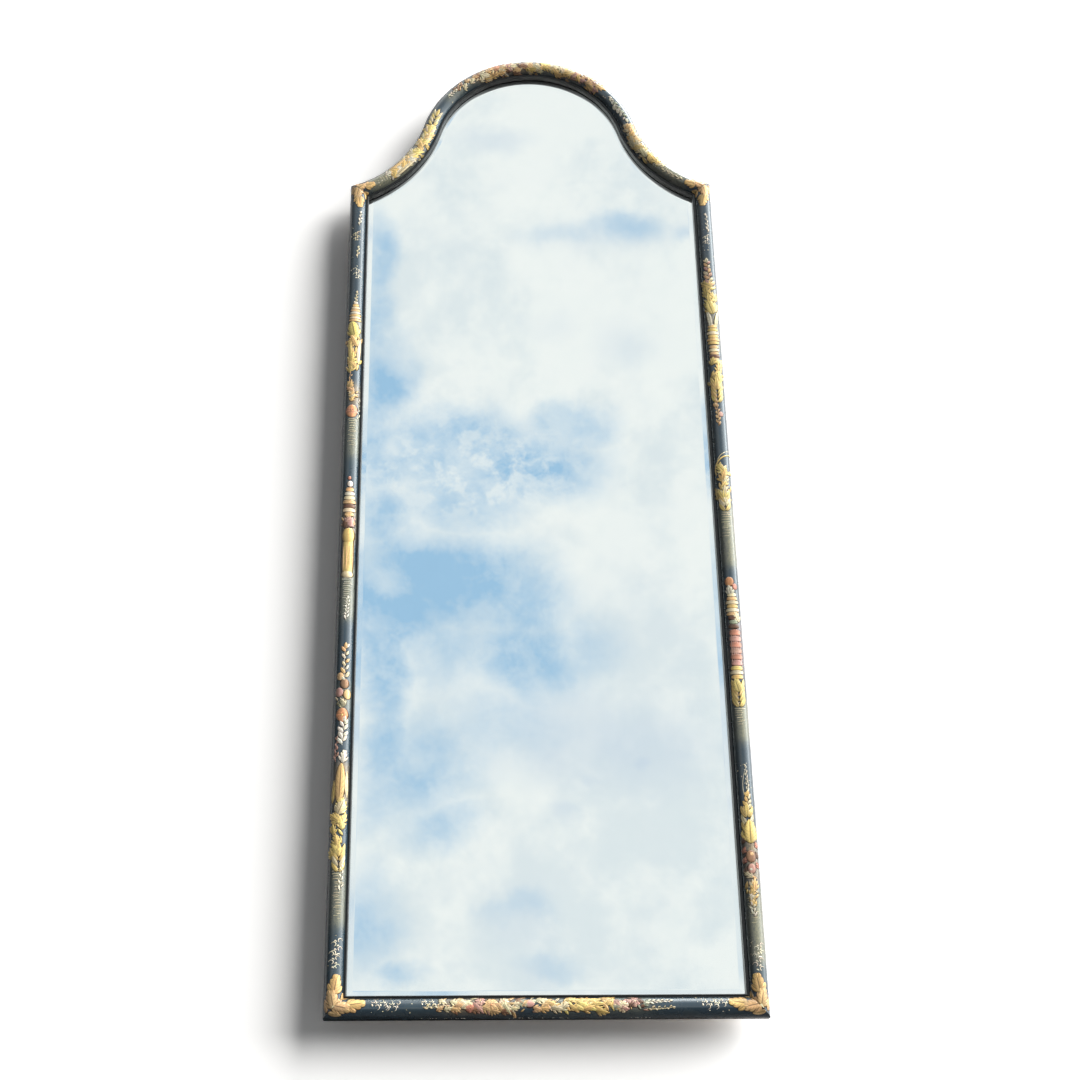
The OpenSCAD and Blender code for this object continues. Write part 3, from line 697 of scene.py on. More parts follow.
# Crown, distances from its left joint
m = "crown"
chevrons(m, -2, 26, ["yellow", "straw"], 15)
twig(m, 64, 84, -2, "cream", 7, 6)
cluster(m, 84, 130, ["straw", "tan", "brown"], 16, 0.9)
dots(m, 60, 130, 10, ["cream", "straw"])
cluster(m, 126, 180, ["tan", "amber", "straw", "brown"], 19, 1.5, 9)
berry(m, 168, -6, 8, "coral", height=0.7)
blossom(m, 168, -6, 7.5, "orange", "coral", 8)
blossom(m, 190, -2, 9, "rose", "gold", 7)
berry(m, 204, 5, 6.5, "tan")
cluster(m, 170, 228, ["tan", "brown", "umber", "straw"], 18, 1.5, 9)
cluster(m, 222, 302, ["yellow", "gold", "straw", "amber"], 21, 1.6, 9)
cluster(m, 296, 356, ["tan", "amber", "rose", "brown"], 21, 1.5, 9)
lobedLeaf(m, 334, 4, 14, 20, "amber", wide=0.24, lift=0.4)
lobedLeaf(m, 326, -7, -10, 20, "tan", wide=0.22, lift=0.35)
twig(m, 380, 424, 0, "cream", 12, 7)
spray(m, 394, 440, 3, -2, ["sage", "cream"], 9, 9)
dots(m, 370, 440, 8, ["cream"])


bladeForm = {
    "tip": 0.04,             # radians of the cosine spacing that are left off at both ends
    "tipHalf": 0.03,         # half width that is left there
    "endFall": 0.4,          # power with which the height falls to the ends
    "domeEdge": 2.2,         # powers of the dome across a blade
    "domeTop": 0.7,
    "groove": 0.2,           # half width of the groove along the middle, as a share of the blade's
    "edgeShade": 0.45,       # how much darker its edges are painted
    "rootShade": 1.6,        # how fast its painted shade at the root gives way to full colour
}


def bladePoints(name, rows, rings, topCount, underCount):
    # centre line: the heading turn + bend * t summed along the length. Half width: t^near * (1 - t)^far,
    # scaled to 1 at its widest. Height: a dome across, a groove along the middle, falling to both ends.
    p = {field: rows[:, i][:, None, None] for i, field in enumerate(bladeFields)}
    form = bladeForm
    t = (0.5 - 0.5 * np.cos(np.linspace(form["tip"], math.pi - form["tip"], rings)))[None, :, None]
    heading = p["turn"] + p["bend"] * t
    step = np.diff(t, axis=1, prepend=0.0)
    centreS = p["s"] + p["length"] * np.cumsum(np.cos(heading) * step, axis=1)
    centreW = p["w"] + p["length"] * np.cumsum(np.sin(heading) * step, axis=1)
    widest = p["near"] / (p["near"] + p["far"])
    shape = t ** p["near"] * (1 - t) ** p["far"] / (widest ** p["near"] * (1 - widest) ** p["far"])
    half = p["half"] * shape + form["tipHalf"]
    centreW = centreW * relief["spread"] + relief["inward"][name]
    top = np.linspace(-1, 1, topCount)
    under = np.linspace(1, -1, underCount + 2)[1:-1]
    x = np.concatenate([top, under])[None, None, :]
    isTop = (np.arange(topCount + underCount) < topCount)[None, None, :]
    ends = np.clip(4 * t * (1 - t), 0, 1) ** form["endFall"]
    dome = np.clip(1 - np.abs(x) ** form["domeEdge"], 0, 1) ** form["domeTop"]
    groove = p["rib"] * np.exp(-(x / form["groove"]) ** 2)
    height = p["lift"] * ends + p["height"] * ends * dome * (1 - groove)
    height = np.where(isTop, np.minimum(height, relief["proud"]), -relief["sunk"])
    s = centreS - np.sin(heading) * half * x
    w = np.clip(centreW + np.cos(heading) * half * x, relief["outerLimit"], relief["acrossLimit"])
    r = moulding["roundRadius"]
    angle = np.clip(w / r, -math.pi / 2, math.pi / 2)
    down = np.maximum(-w - r * math.pi / 2, 0)
    inward = r + (r + height) * np.sin(angle)
    up = moulding["springHeight"] + (r + height) * np.cos(angle) - down
    first, last = memberEnds(name, np.clip(inward, 0, moulding["width"]))
    s = np.clip(s, first + relief["mitreGap"], last - relief["mitreGap"])
    points = place(members[name], s, inward, up)
    shape = points.shape[:-1]
    colour = np.concatenate([p["red"], p["green"], p["blue"]], axis=1)[:, None, None, :].reshape(-1, 1, 1, 3)
    # painted shade: each blade is darker at its root and grows lighter towards its tip
    tone = p["shade"] + (1 - p["shade"]) * np.clip(t * form["rootShade"], 0, 1)
    tone = tone * (1 - form["edgeShade"] * np.abs(x) ** 4)
    colour = colour * np.broadcast_to(tone, shape)[..., None]
    colour = np.concatenate([colour, np.ones(shape + (1,))], axis=-1)
    local = np.stack([np.broadcast_to(part, shape) for part in (t, x, p["vein"])], axis=-1)
    return points, colour, local


def makeRelief(name):
    # the member's leaves, their dark outlines with painted shadow and its tendrils in one mesh
    layers = [(blades, relief["leafMesh"]), (outlineShadows, relief["outlineMesh"]),
              (tendrils, relief["tendrilMesh"])]
    allPoints, allColours, allLocal, faces, offset = [], [], [], [], 0
    for table, (rings, topCount, underCount) in layers:
        rows = table[name]
        points, colour, local = bladePoints(name, np.array(rows), rings, topCount, underCount)
        part = tubeFaces(len(rows), rings, topCount + underCount)
        faces += [[corner + offset for corner in face] for face in part]
        offset += points.size // 3
        allPoints.append(points.reshape(-1, 3))
        allColours.append(colour.reshape(-1, 4))
        allLocal.append(local.reshape(-1, 3))
    piece = makeMesh("gilding_" + name, np.concatenate(allPoints), faces)
    pointValues(piece, "gildPaint", np.concatenate(allColours), "FLOAT_COLOR")
    pointValues(piece, "bladeSpace", np.concatenate(allLocal), "FLOAT_VECTOR")
    return piece


print("raised gilding", {name: len(blades[name]) + len(tendrils[name]) for name in members})
gildingPieces = {name: makeRelief(name) for name in members}

# The glass
glass = {
    "edge": 27.0,            # outer edge of the frame to the edge of the glass, millimetres
    "bevelWidth": 11.0,
    "bevelDepth": 1.0,
    "thickness": 4.0,
    "silverEdge": 27.3,      # where the silver film stops
    "filmDepth": 0.02,       # how far the film's face lies inside the glass, so that no air is left between
    "filmBack": 0.08,        # and its paint behind the glass
    "memberSteps": 60,       # points of the outline along a member, and round the crown
    "crownSteps": 120,
    "sharpAngle": 2,         # degrees from which an edge stays sharp, as the bevel's does
}


def outlineLoop(u):
    # once round the frame at a distance u in from its outer edge, member by member
    runs = [("bottom_rail", 1), ("stile_right", 1), ("cove_right", 1), ("crown", -1), ("cove_left", -1),
            ("stile_left", -1)]
    loop = []
    for name, way in runs:
        first, last = memberEnds(name, u)
        count = glass["crownSteps"] if name == "crown" else glass["memberSteps"]
        share = np.linspace(0, 1, count, endpoint=False)
        share = share if way > 0 else 1 - share
        loop.append(place(members[name], first + (last - first) * share, u, 0.0))
    return np.concatenate(loop)


def platePoints(loops):
    # the same outline at several distances in from the edge and heights over the back
    points = [outlineLoop(u) for u, height in loops]
    for loop, (u, height) in zip(points, loops):
        loop[:, 1] = (backY - height) * mm
    return np.stack(points)


def makeGlass():
    # back, edge, bevel and face are four loops of the same outline, closed over the front and the back
    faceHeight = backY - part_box("mirror_glass")[0].y / mm
    backHeight = faceHeight - glass["thickness"]
    points = platePoints([(glass["edge"], backHeight), (glass["edge"], faceHeight - glass["bevelDepth"]),
                          (glass["edge"] + glass["bevelWidth"], faceHeight)])
    plate = makeMesh("mirror_plate", points, tubeFaces(1, 3, points.shape[1]),
                     sharp=glass["sharpAngle"])
    points = platePoints([(glass["silverEdge"], backHeight - glass["filmBack"]),
                          (glass["silverEdge"], backHeight + glass["filmDepth"])])
    film = makeMesh("silver_film", points, tubeFaces(1, 2, points.shape[1]),
                    sharp=glass["sharpAngle"])
    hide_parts("mirror_glass")
    return plate, film


print("mirror plate")
mirrorPlate, silverFilm = makeGlass()


def feed(tree, socket, value):
    # another node's output is linked, anything else becomes the socket's own value
    if isinstance(value, bpy.types.NodeSocket):
        tree.links.new(value, socket)
    else:
        socket.default_value = value


def addNode(tree, kind, inputs=None, **settings):
    # a node with its settings and what goes into its sockets
    item = tree.nodes.new(kind)
    for key, value in settings.items():
        setattr(item, key, value)
    for key, value in (inputs or {}).items():
        feed(tree, item.inputs[key], value)
    return item


def calc(tree, operation, a, b=0.0, clamp=False):
    return addNode(tree, "ShaderNodeMath", {0: a, 1: b}, operation=operation, use_clamp=clamp).outputs[0]


def times(tree, a, b, clamp=False):
    return calc(tree, "MULTIPLY", a, b, clamp)


def remap(tree, value, low, high, outLow=0.0, outHigh=1.0):
    # a smooth step from one range of values to another
    return addNode(tree, "ShaderNodeMapRange", {"Value": value, "From Min": low, "From Max": high,
                                                "To Min": outLow, "To Max": outHigh},
                   interpolation_type="SMOOTHSTEP").outputs[0]


def blendColour(tree, share, a, b, how="MIX"):
    # from colour a to colour b as the share goes from 0 to 1
    item = addNode(tree, "ShaderNodeMix", {"Factor": share}, data_type="RGBA", blend_type=how)
    feed(tree, item.inputs[6], a)
    feed(tree, item.inputs[7], b)
    return item.outputs[2]


def combineColour(tree, red, green, blue):
    return addNode(tree, "ShaderNodeCombineColor", {0: red, 1: green, 2: blue}).outputs[0]


def vectorMath(tree, operation, a, b):
    return addNode(tree, "ShaderNodeVectorMath", {0: a, 1: b}, operation=operation).outputs[0]


def vectorLength(tree, vector):
    return addNode(tree, "ShaderNodeVectorMath", {0: vector}, operation="LENGTH").outputs["Value"]


def separate(tree, vector):
    return addNode(tree, "ShaderNodeSeparateXYZ", {0: vector}).outputs


def objectPlace(tree):
    return addNode(tree, "ShaderNodeTexCoord").outputs["Object"]


def attribute(tree, name):
    return addNode(tree, "ShaderNodeAttribute", attribute_name=name).outputs


def noise(tree, vector, scale, detail=4.0, rough=0.55, twist=0.0):
    return addNode(tree, "ShaderNodeTexNoise", {"Vector": vector, "Scale": scale, "Detail": detail,
                                                "Roughness": rough, "Distortion": twist}).outputs["Fac"]


def bumpNormal(tree, strength, height, distance=0.0003):
    return addNode(tree, "ShaderNodeBump", {"Strength": strength, "Distance": distance,
                                            "Height": height}).outputs["Normal"]


def rgba(rgb):
    # screen values with full opacity, as a colour socket takes them
    return (*[float(x) for x in linear(rgb)], 1.0)


def newGroup(name, inputs, outputs):
    # an empty node group: inputs are label, kind and value, outputs are labels of plain numbers
    tree = bpy.data.node_groups.new(name, "ShaderNodeTree")
    for label, kind, value in inputs:
        socket = tree.interface.new_socket(label, in_out="INPUT", socket_type="NodeSocket" + kind)
        socket.default_value = value
    for label in outputs:
        tree.interface.new_socket(label, in_out="OUTPUT", socket_type="NodeSocketFloat")
    return tree, addNode(tree, "NodeGroupInput").outputs, addNode(tree, "NodeGroupOutput").inputs


def dustGroup():
    # dust lies where the surface faces up, broken up by noise
    tree, given, result = newGroup("SettledDust", [("Amount", "Float", 0.3), ("Scale", "Float", 120.0)],
                                   ["Mask"])
    normal = addNode(tree, "ShaderNodeNewGeometry").outputs["Normal"]
    facingUp = remap(tree, separate(tree, normal)["Z"], 0.25, 1.0)
    patchy = remap(tree, noise(tree, objectPlace(tree), given["Scale"], 5.0, 0.7), 0.3, 0.75)
    feed(tree, result["Mask"], times(tree, times(tree, facingUp, patchy), given["Amount"], clamp=True))
    return tree


ageScales = {"mottle": 38.0, "unevenness": 900.0, "crackle": 260.0, "nicks": 420.0}


def ageGroup():
    # slow mottling, fine crackle and small nicks, for anything painted or lacquered. The crackle is the net
    # of edges between cells, kept only where the mottling is high.
    tree, given, result = newGroup("AgedFinish", [("Scale", "Float", 1.0), ("Crackle", "Float", 0.5)],
                                   ["Mottle", "Height", "Nicks"])
    place3 = objectPlace(tree)
    scales = {part: times(tree, given["Scale"], scale) for part, scale in ageScales.items()}
    mottle = noise(tree, place3, scales["mottle"], 5.0, 0.6, 0.4)
    uneven = noise(tree, place3, scales["unevenness"], 3.0, 0.6)
    net = addNode(tree, "ShaderNodeTexVoronoi", {"Vector": place3, "Scale": scales["crackle"]},
                  feature="DISTANCE_TO_EDGE").outputs["Distance"]
    cracks = times(tree, remap(tree, net, 0.0, 0.05, 1.0, 0.0), remap(tree, mottle, 0.5, 0.7))
    cracks = times(tree, cracks, given["Crackle"])
    nicks = noise(tree, place3, scales["nicks"], 2.0, 0.5)
    feed(tree, result["Mottle"], mottle)
    feed(tree, result["Height"], calc(tree, "SUBTRACT", times(tree, uneven, 0.25), cracks))
    feed(tree, result["Nicks"], remap(tree, nicks, 0.73, 0.78))
    return tree


def grainGroup():
    # wood grain: noise drawn out along one direction, folded into rings, with darker pores
    tree, given, result = newGroup("DrawnGrain", [("Stretch", "Vector", (1.0, 1.0, 0.05)),
                                                  ("Scale", "Float", 60.0)], ["Grain", "Pores"])
    drawn = vectorMath(tree, "MULTIPLY", objectPlace(tree), given["Stretch"])
    broad = noise(tree, drawn, given["Scale"], 6.0, 0.6, 1.2)
    rings = calc(tree, "FRACT", times(tree, broad, 7.0))
    streaks = calc(tree, "ADD", broad, times(tree, rings, 0.35))
    pores = noise(tree, drawn, times(tree, given["Scale"], 9.0), 2.0, 0.5)
    feed(tree, result["Grain"], times(tree, streaks, 0.75))
    feed(tree, result["Pores"], remap(tree, pores, 0.58, 0.7))
    return tree


dust = dustGroup()
aged = ageGroup()
grain = grainGroup()


def placeGroup(tree, group, **values):
    # the group in one material, with this material's own values
    item = addNode(tree, "ShaderNodeGroup", node_tree=group)
    for key, value in values.items():
        feed(tree, item.inputs[key], value)
    return item.outputs


def newMaterial(name):
    material = bpy.data.materials.new(name)
    material.use_nodes = True
    tree = material.node_tree
    return material, tree, tree.nodes["Principled BSDF"]


def setShader(tree, shader, **values):
    # names run together here and apart on the shader: BaseColor sets Base Color
    for key, value in values.items():
        label = "".join(" " + c if c.isupper() and i else c for i, c in enumerate(key))
        feed(tree, shader.inputs[label.replace("Ior", "IOR")], value)


lacquerLook = {
    "ground": (27, 50, 64),          # slate blue-black of the lacquer
    "groundWarm": (42, 60, 68),      # where it has worn paler
    "bead": (12, 14, 16),            # the sight bead and the walls inside it, near black, partly black paint and partly painted shade of the round
    "beadWorn": (26, 29, 32),
    "dust": (150, 146, 134),
    "dustScale": 160.0,
    "seam": (6, 7, 8),               # the dark line in a mitre
    "seamReach": (0.15, 0.7),        # millimetres over which it fades
    "nick": (96, 74, 52),
    "roughness": (0.22, 0.34),
    "washRoughness": 0.12,           # what a wash adds
    "beadRoughness": (0.3, 0.42),
    "brushed": (0.02, 0.09, 0.0),    # draws the strokes of a wash out along the member
    "speckleSize": 700.0,
}


def lacquerMaterial():
    # the ground, and over it the washes, thinned by brush strokes and speckle
    material, tree, shader = newMaterial("blueBlackLacquer")
    look = lacquerLook
    age = placeGroup(tree, aged, Scale=1.0, Crackle=0.35)
    ground = blendColour(tree, remap(tree, age["Mottle"], 0.35, 0.8), rgba(look["ground"]),
                         rgba(look["groundWarm"]))
    wash = attribute(tree, "groundPaint")
    drawn = vectorMath(tree, "MULTIPLY", attribute(tree, "runAcross")["Vector"], look["brushed"])
    strokes = remap(tree, noise(tree, drawn, 8.0, 5.0, 0.65, 0.3), 0.22, 0.62, 0.35, 1.0)
    speckle = remap(tree, noise(tree, objectPlace(tree), look["speckleSize"], 3.0, 0.7), 0.3, 0.62, 0.45, 1.0)
    cover = times(tree, times(tree, wash["Alpha"], strokes), speckle, clamp=True)
    base = blendColour(tree, cover, ground, wash["Color"])
    seam = remap(tree, attribute(tree, "seamDistance")["Fac"], *look["seamReach"], 0.9, 0.0)
    base = blendColour(tree, seam, base, rgba(look["seam"]))
    settled = placeGroup(tree, dust, Amount=0.12, Scale=look["dustScale"])["Mask"]
    base = blendColour(tree, settled, base, rgba(look["dust"]))
    base = blendColour(tree, times(tree, age["Nicks"], 0.5), base, rgba(look["nick"]))
    rough = remap(tree, age["Mottle"], 0.3, 0.8, *look["roughness"])
    rough = calc(tree, "ADD", rough, times(tree, cover, look["washRoughness"]), clamp=True)
    setShader(tree, shader, BaseColor=base, Roughness=rough, Ior=1.52, CoatWeight=1.0, CoatRoughness=0.1,
              Normal=bumpNormal(tree, 0.1, age["Height"]))
    return material


def sightEdgeMaterial():
    # plain black lacquer on the quirk, the sight bead and the walls of the rebates; its near-black colour is
    # partly painted shade from the round
    material, tree, shader = newMaterial("blackSightEdge")
    look = lacquerLook
    age = placeGroup(tree, aged, Scale=1.5, Crackle=0.2)
    base = blendColour(tree, remap(tree, age["Mottle"], 0.35, 0.8), rgba(look["bead"]), rgba(look["beadWorn"]))
    settled = placeGroup(tree, dust, Amount=0.1, Scale=look["dustScale"])["Mask"]
    base = blendColour(tree, settled, base, rgba(look["dust"]))
    rough = remap(tree, age["Mottle"], 0.3, 0.8, *look["beadRoughness"])
    setShader(tree, shader, BaseColor=base, Roughness=rough, Ior=1.5, SpecularIorLevel=0.35, CoatWeight=0.4,
              CoatRoughness=0.15, Normal=bumpNormal(tree, 0.04, age["Height"]))
    return material


gildLook = {
    "ink": (58, 34, 20),             # lines drawn on the gilding
    "worn": (92, 58, 36),            # red-brown size where the gilding is rubbed
    "toneSpread": ((0.84, 1.14), (0.8, 1.12), (0.72, 1.12)),    # how far red, green and blue vary
    "paintedLitHalf": (0.78, 1.16),         # painted light and shade: one half of a leaf is painted lighter, the other darker
    "veins": 7.0,                    # pairs of veins along a leaf
    "veinSlant": 1.6,
    "metallic": 0.12,
    "roughness": (0.34, 0.5),
}


def gildMaterial():
    # each blade's own colour, with a midrib, slanting veins and an edge in ink: X runs along the blade, Y is
    # -1 to 1 across it and Z says how strongly its veins are drawn
    material, tree, shader = newMaterial("paintedGilding")
    look = gildLook
    age = placeGroup(tree, aged, Scale=2.0, Crackle=0.3)
    tone = noise(tree, objectPlace(tree), 420.0, 4.0, 0.6)
    spread = [remap(tree, tone, 0.25, 0.75, *ends) for ends in look["toneSpread"]]
    paint = attribute(tree, "gildPaint")["Color"]
    colour = blendColour(tree, 1.0, paint, combineColour(tree, *spread), "MULTIPLY")
    blade = separate(tree, attribute(tree, "bladeSpace")["Vector"])
    side = calc(tree, "ABSOLUTE", blade["Y"])
    midrib = remap(tree, side, 0.03, 0.16, 1.0, 0.0)
    slant = calc(tree, "SUBTRACT", times(tree, blade["X"], look["veins"]), times(tree, side, look["veinSlant"]))
    veins = remap(tree, calc(tree, "PINGPONG", slant, 0.5), 0.0, 0.13, 0.75, 0.0)
    veins = times(tree, veins, remap(tree, side, 0.1, 0.4))
    ink = times(tree, calc(tree, "MAXIMUM", midrib, veins), times(tree, blade["Z"], 0.72))
    ink = calc(tree, "MAXIMUM", ink, times(tree, remap(tree, side, 0.66, 1.0), 0.85))
    # painted light and shade: one half of each leaf lighter, the other darker, as if lit from one side
    lit = remap(tree, blade["Y"], -0.25, 0.25, *look["paintedLitHalf"])
    colour = blendColour(tree, 1.0, colour, combineColour(tree, lit, lit, lit), "MULTIPLY")
    colour = blendColour(tree, ink, colour, rgba(look["ink"]))
    rub = times(tree, remap(tree, side, 0.7, 1.0), remap(tree, tone, 0.35, 0.65))
    rub = calc(tree, "MAXIMUM", times(tree, rub, 0.55), times(tree, age["Nicks"], 0.7))
    colour = blendColour(tree, rub, colour, rgba(look["worn"]))
    rough = remap(tree, tone, 0.2, 0.8, *look["roughness"])
    normal = bumpNormal(tree, 0.35, calc(tree, "SUBTRACT", age["Height"], ink))
    setShader(tree, shader, BaseColor=colour, Roughness=rough, Metallic=look["metallic"], Ior=1.5,
              CoatWeight=0.6, CoatRoughness=0.14, Normal=normal)
    return material


plateLook = {
    "silver": (0.97, 0.975, 0.965, 1),
    "tarnished": (0.95, 0.96, 0.955, 1),
    "clear": (0.972, 0.988, 0.982, 1),      # the plate's faint green
    "smeared": (0.955, 0.98, 0.975, 1),
}


def silverMaterial():
    # the film behind the glass: bright metal, a little tarnished in slow patches
    material, tree, shader = newMaterial("silverFilm")
    place3 = objectPlace(tree)
    tarnish = noise(tree, place3, 9.0, 5.0, 0.65, 0.8)
    specks = noise(tree, place3, 1100.0, 2.0, 0.5)
    colour = blendColour(tree, remap(tree, tarnish, 0.3, 0.75), plateLook["silver"], plateLook["tarnished"])
    rough = calc(tree, "ADD", remap(tree, tarnish, 0.4, 0.8, 0.0, 0.01),
                 remap(tree, specks, 0.7, 0.78, 0.0, 0.04))
    setShader(tree, shader, BaseColor=colour, Roughness=rough, Metallic=1.0)
    return material


def glassMaterial():
    # clear plate with its faint green, and smears and motes of dust on the face
    material, tree, shader = newMaterial("bevelledGlass")
    place3 = objectPlace(tree)
    smear = noise(tree, place3, 7.0, 6.0, 0.7, 1.1)
    colour = blendColour(tree, remap(tree, smear, 0.3, 0.75), plateLook["clear"], plateLook["smeared"])
    rough = remap(tree, noise(tree, place3, 1500.0, 2.0, 0.5), 0.7, 0.78, 0.0, 0.03)
    setShader(tree, shader, BaseColor=colour, Roughness=rough, Metallic=0.0, TransmissionWeight=1.0, Ior=1.52)
    return material


# Finishes of the back. Woods: light and dark of the grain, how it is drawn out, scale.
# Steels: colour, roughness, scale of the spangle.
backLook = {
    "pine": ((222, 186, 132), (176, 128, 78), (1.0, 1.0, 0.06), 70.0),
    "ply": ((208, 172, 122), (164, 122, 80), (1.0, 1.0, 0.045), 26.0),
    "lime": ((206, 168, 112), (160, 118, 74), (1.0, 1.0, 0.2), 120.0),
    "woodRoughness": (0.62, 0.77),
    "woodDust": (176, 170, 158),
    "zinc": ((182, 184, 186), 0.3, 420.0),
    "screw": ((176, 170, 156), 0.26, 900.0),
    "steelVary": 0.14,               # how much rougher some spangles are
    "tarnish": (120, 96, 66),
    "rubber": (34, 34, 35),
    "rubberWorn": (52, 51, 50),
    "rubberRoughness": (0.55, 0.8),
    "rubberDust": (128, 124, 118),
}


def woodMaterial(name, light, dark, stretch, scale):
    # streaks between the two colours, dark pores, slow stains and settled dust
    material, tree, shader = newMaterial(name)
    streaks = placeGroup(tree, grain, Stretch=stretch, Scale=scale)
    colour = blendColour(tree, remap(tree, streaks["Grain"], 0.2, 0.75), rgba(dark), rgba(light))
    colour = blendColour(tree, times(tree, streaks["Pores"], 0.4), colour, rgba([c * 0.5 for c in dark]))
    stain = remap(tree, placeGroup(tree, aged, Scale=0.4, Crackle=0.0)["Mottle"], 0.45, 0.8, 0.0, 0.35)
    colour = blendColour(tree, stain, colour, rgba([c * 0.62 for c in light]))
    settled = placeGroup(tree, dust, Amount=0.25, Scale=90.0)["Mask"]
    colour = blendColour(tree, settled, colour, rgba(backLook["woodDust"]))
    height = calc(tree, "SUBTRACT", streaks["Grain"], times(tree, streaks["Pores"], 0.5))
    setShader(tree, shader, BaseColor=colour, Normal=bumpNormal(tree, 0.3, height),
              Roughness=remap(tree, streaks["Grain"], 0.2, 0.8, *backLook["woodRoughness"]))
    return material


def steelMaterial(name, colour, rough, spangle):
    # cells of slightly different shine, tarnished in patches
    material, tree, shader = newMaterial(name)
    cells = addNode(tree, "ShaderNodeTexVoronoi", {"Vector": objectPlace(tree), "Scale": spangle})
    shine = separate(tree, cells.outputs["Color"])["X"]
    age = placeGroup(tree, aged, Scale=2.0, Crackle=0.0)
    base = blendColour(tree, remap(tree, shine, 0.0, 1.0, 0.0, 0.35), rgba(colour),
                       rgba([c * 0.82 for c in colour]))
    tarnish = remap(tree, age["Mottle"], 0.55, 0.85, 0.0, 0.5)
    base = blendColour(tree, tarnish, base, rgba(backLook["tarnish"]))
    setShader(tree, shader, BaseColor=base, Metallic=1.0, Normal=bumpNormal(tree, 0.15, age["Height"], 0.0002),
              Roughness=remap(tree, shine, 0.0, 1.0, rough, rough + backLook["steelVary"]))
    return material


def rubberMaterial():
    # dull black, greyer where it is worn, with dust on top
    material, tree, shader = newMaterial("bumperRubber")
    look = backLook
    age = placeGroup(tree, aged, Scale=3.0, Crackle=0.2)
    settled = placeGroup(tree, dust, Amount=0.6, Scale=300.0)["Mask"]
    base = blendColour(tree, remap(tree, age["Mottle"], 0.3, 0.8), rgba(look["rubber"]),
                       rgba(look["rubberWorn"]))
    base = blendColour(tree, settled, base, rgba(look["rubberDust"]))
    rough = remap(tree, age["Mottle"], 0.2, 0.8, *look["rubberRoughness"])
    setShader(tree, shader, BaseColor=base, Roughness=rough, Normal=bumpNormal(tree, 0.3, age["Height"]))
    return material


def dress(piece, *materials):
    # adds to the empty list: clearing it would also set every face back to the first material
    for material in materials:
        piece.data.materials.append(material)


def dressNode(name, material):
    # on the object, so that the CAD piece's own mesh data stays as it is
    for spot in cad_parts[name].material_slots:
        spot.link = "OBJECT"
        spot.material = material


print("finishes")
lacquer = lacquerMaterial()
gilding = gildMaterial()
sightEdge = sightEdgeMaterial()
silver = silverMaterial()
clearGlass = glassMaterial()
pineWood = woodMaterial("sawnPine", *backLook["pine"])
plyWood = woodMaterial("birchPly", *backLook["ply"])
splineWood = woodMaterial("limeSpline", *backLook["lime"])
zinc = steelMaterial("zincPlate", *backLook["zinc"])
screwSteel = steelMaterial("screwSteel", *backLook["screw"])
rubber = rubberMaterial()

for piece in mouldingPieces.values():
    dress(piece, lacquer, sightEdge)
for piece in gildingPieces.values():
    dress(piece, gilding)
dress(mirrorPlate, clearGlass)
dress(silverFilm, silver)
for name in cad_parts:
    if name.endswith("screws"):
        dressNode(name, screwSteel)
    elif name.startswith(("corner_plate", "hanger")):
        dressNode(name, zinc)
    elif name.startswith("spline"):
        dressNode(name, splineWood)
    elif name.startswith(("spacer", "arch_blocks")):
        dressNode(name, pineWood)
    elif name.startswith("bumper"):
        dressNode(name, rubber)
    elif name == "backboard":
        dressNode(name, plyWood)

# The studio: a pale floor, a pale wall behind, one large lamp high on the right and a pale sky to reflect
studio = {
    "floorZ": -1.78,
    "wallY": 0.0235,
    "reach": 7.0,
    "cameraPlace": (-0.081, -2.243, -1.4155),
    "cameraYaw": 0.01,
    "cameraPitch": 23.42,
    "cameraRoll": -0.30,
    "lens": 53.33,
    "sensor": 36.0,
    "shift": 0.0519,
    "keyFrom": (1.0, -0.4, 0.715),   # direction the soft lamp shines from
    "keySpread": 59.0,               # degrees across, for soft shadows
    "keyStrength": 8.0,
    "lampTint": (1.0, 0.99, 0.97),
    "backFrom": (-0.55, 1.0, 0.55),  # direction of the lamp behind the wall, for views of the back
    "backSpread": 50.0,
    "backStrength": 2.6,
    "fill": 0.13,
    "fillBelow": 0.3,                # share of the fill that comes from below
    "fillTint": (0.93, 0.97, 1.0, 1),
    "wallTone": 0.8,                 # how light the wall and the floor are for the light they throw back
    "floorTone": 0.1,
    "wallSeen": 1.4,                 # how bright the pale wall is seen, which the lamp only grazes
    "floorSeen": 0.85,
    "plateDims": 0.45,               # how much darker both are through the plate, in the mirror
    "floorMirrored": (0.12, 0.12),   # how bright the lacquer reflects the floor at its left and its right, kept dark as painted shade on the lower flanks
    "wallMirroredLightAndShade": (0.6, 2.0),      # and the wall: painted shade on the left, painted light on the right
    "footShade": 0.12,               # painted shadow: the wall in reflections below the foot, where the shadow lies
    "openingInset": 12,              # millimetres by which the opening behind the mirror is smaller
    "panelShine": 6.5,               # of the tall white panel on the right that the lacquer reflects
    "overhead": 1.3,                 # how much brighter the reflected sky is straight above
}


def stageSheet(name, corners, material):
    # one large face that belongs to the stage
    mesh = bpy.data.meshes.new(name)
    mesh.from_pydata(corners, [], [(0, 1, 2, 3)])
    sheet = addObject(name, mesh)
    dress(sheet, material)


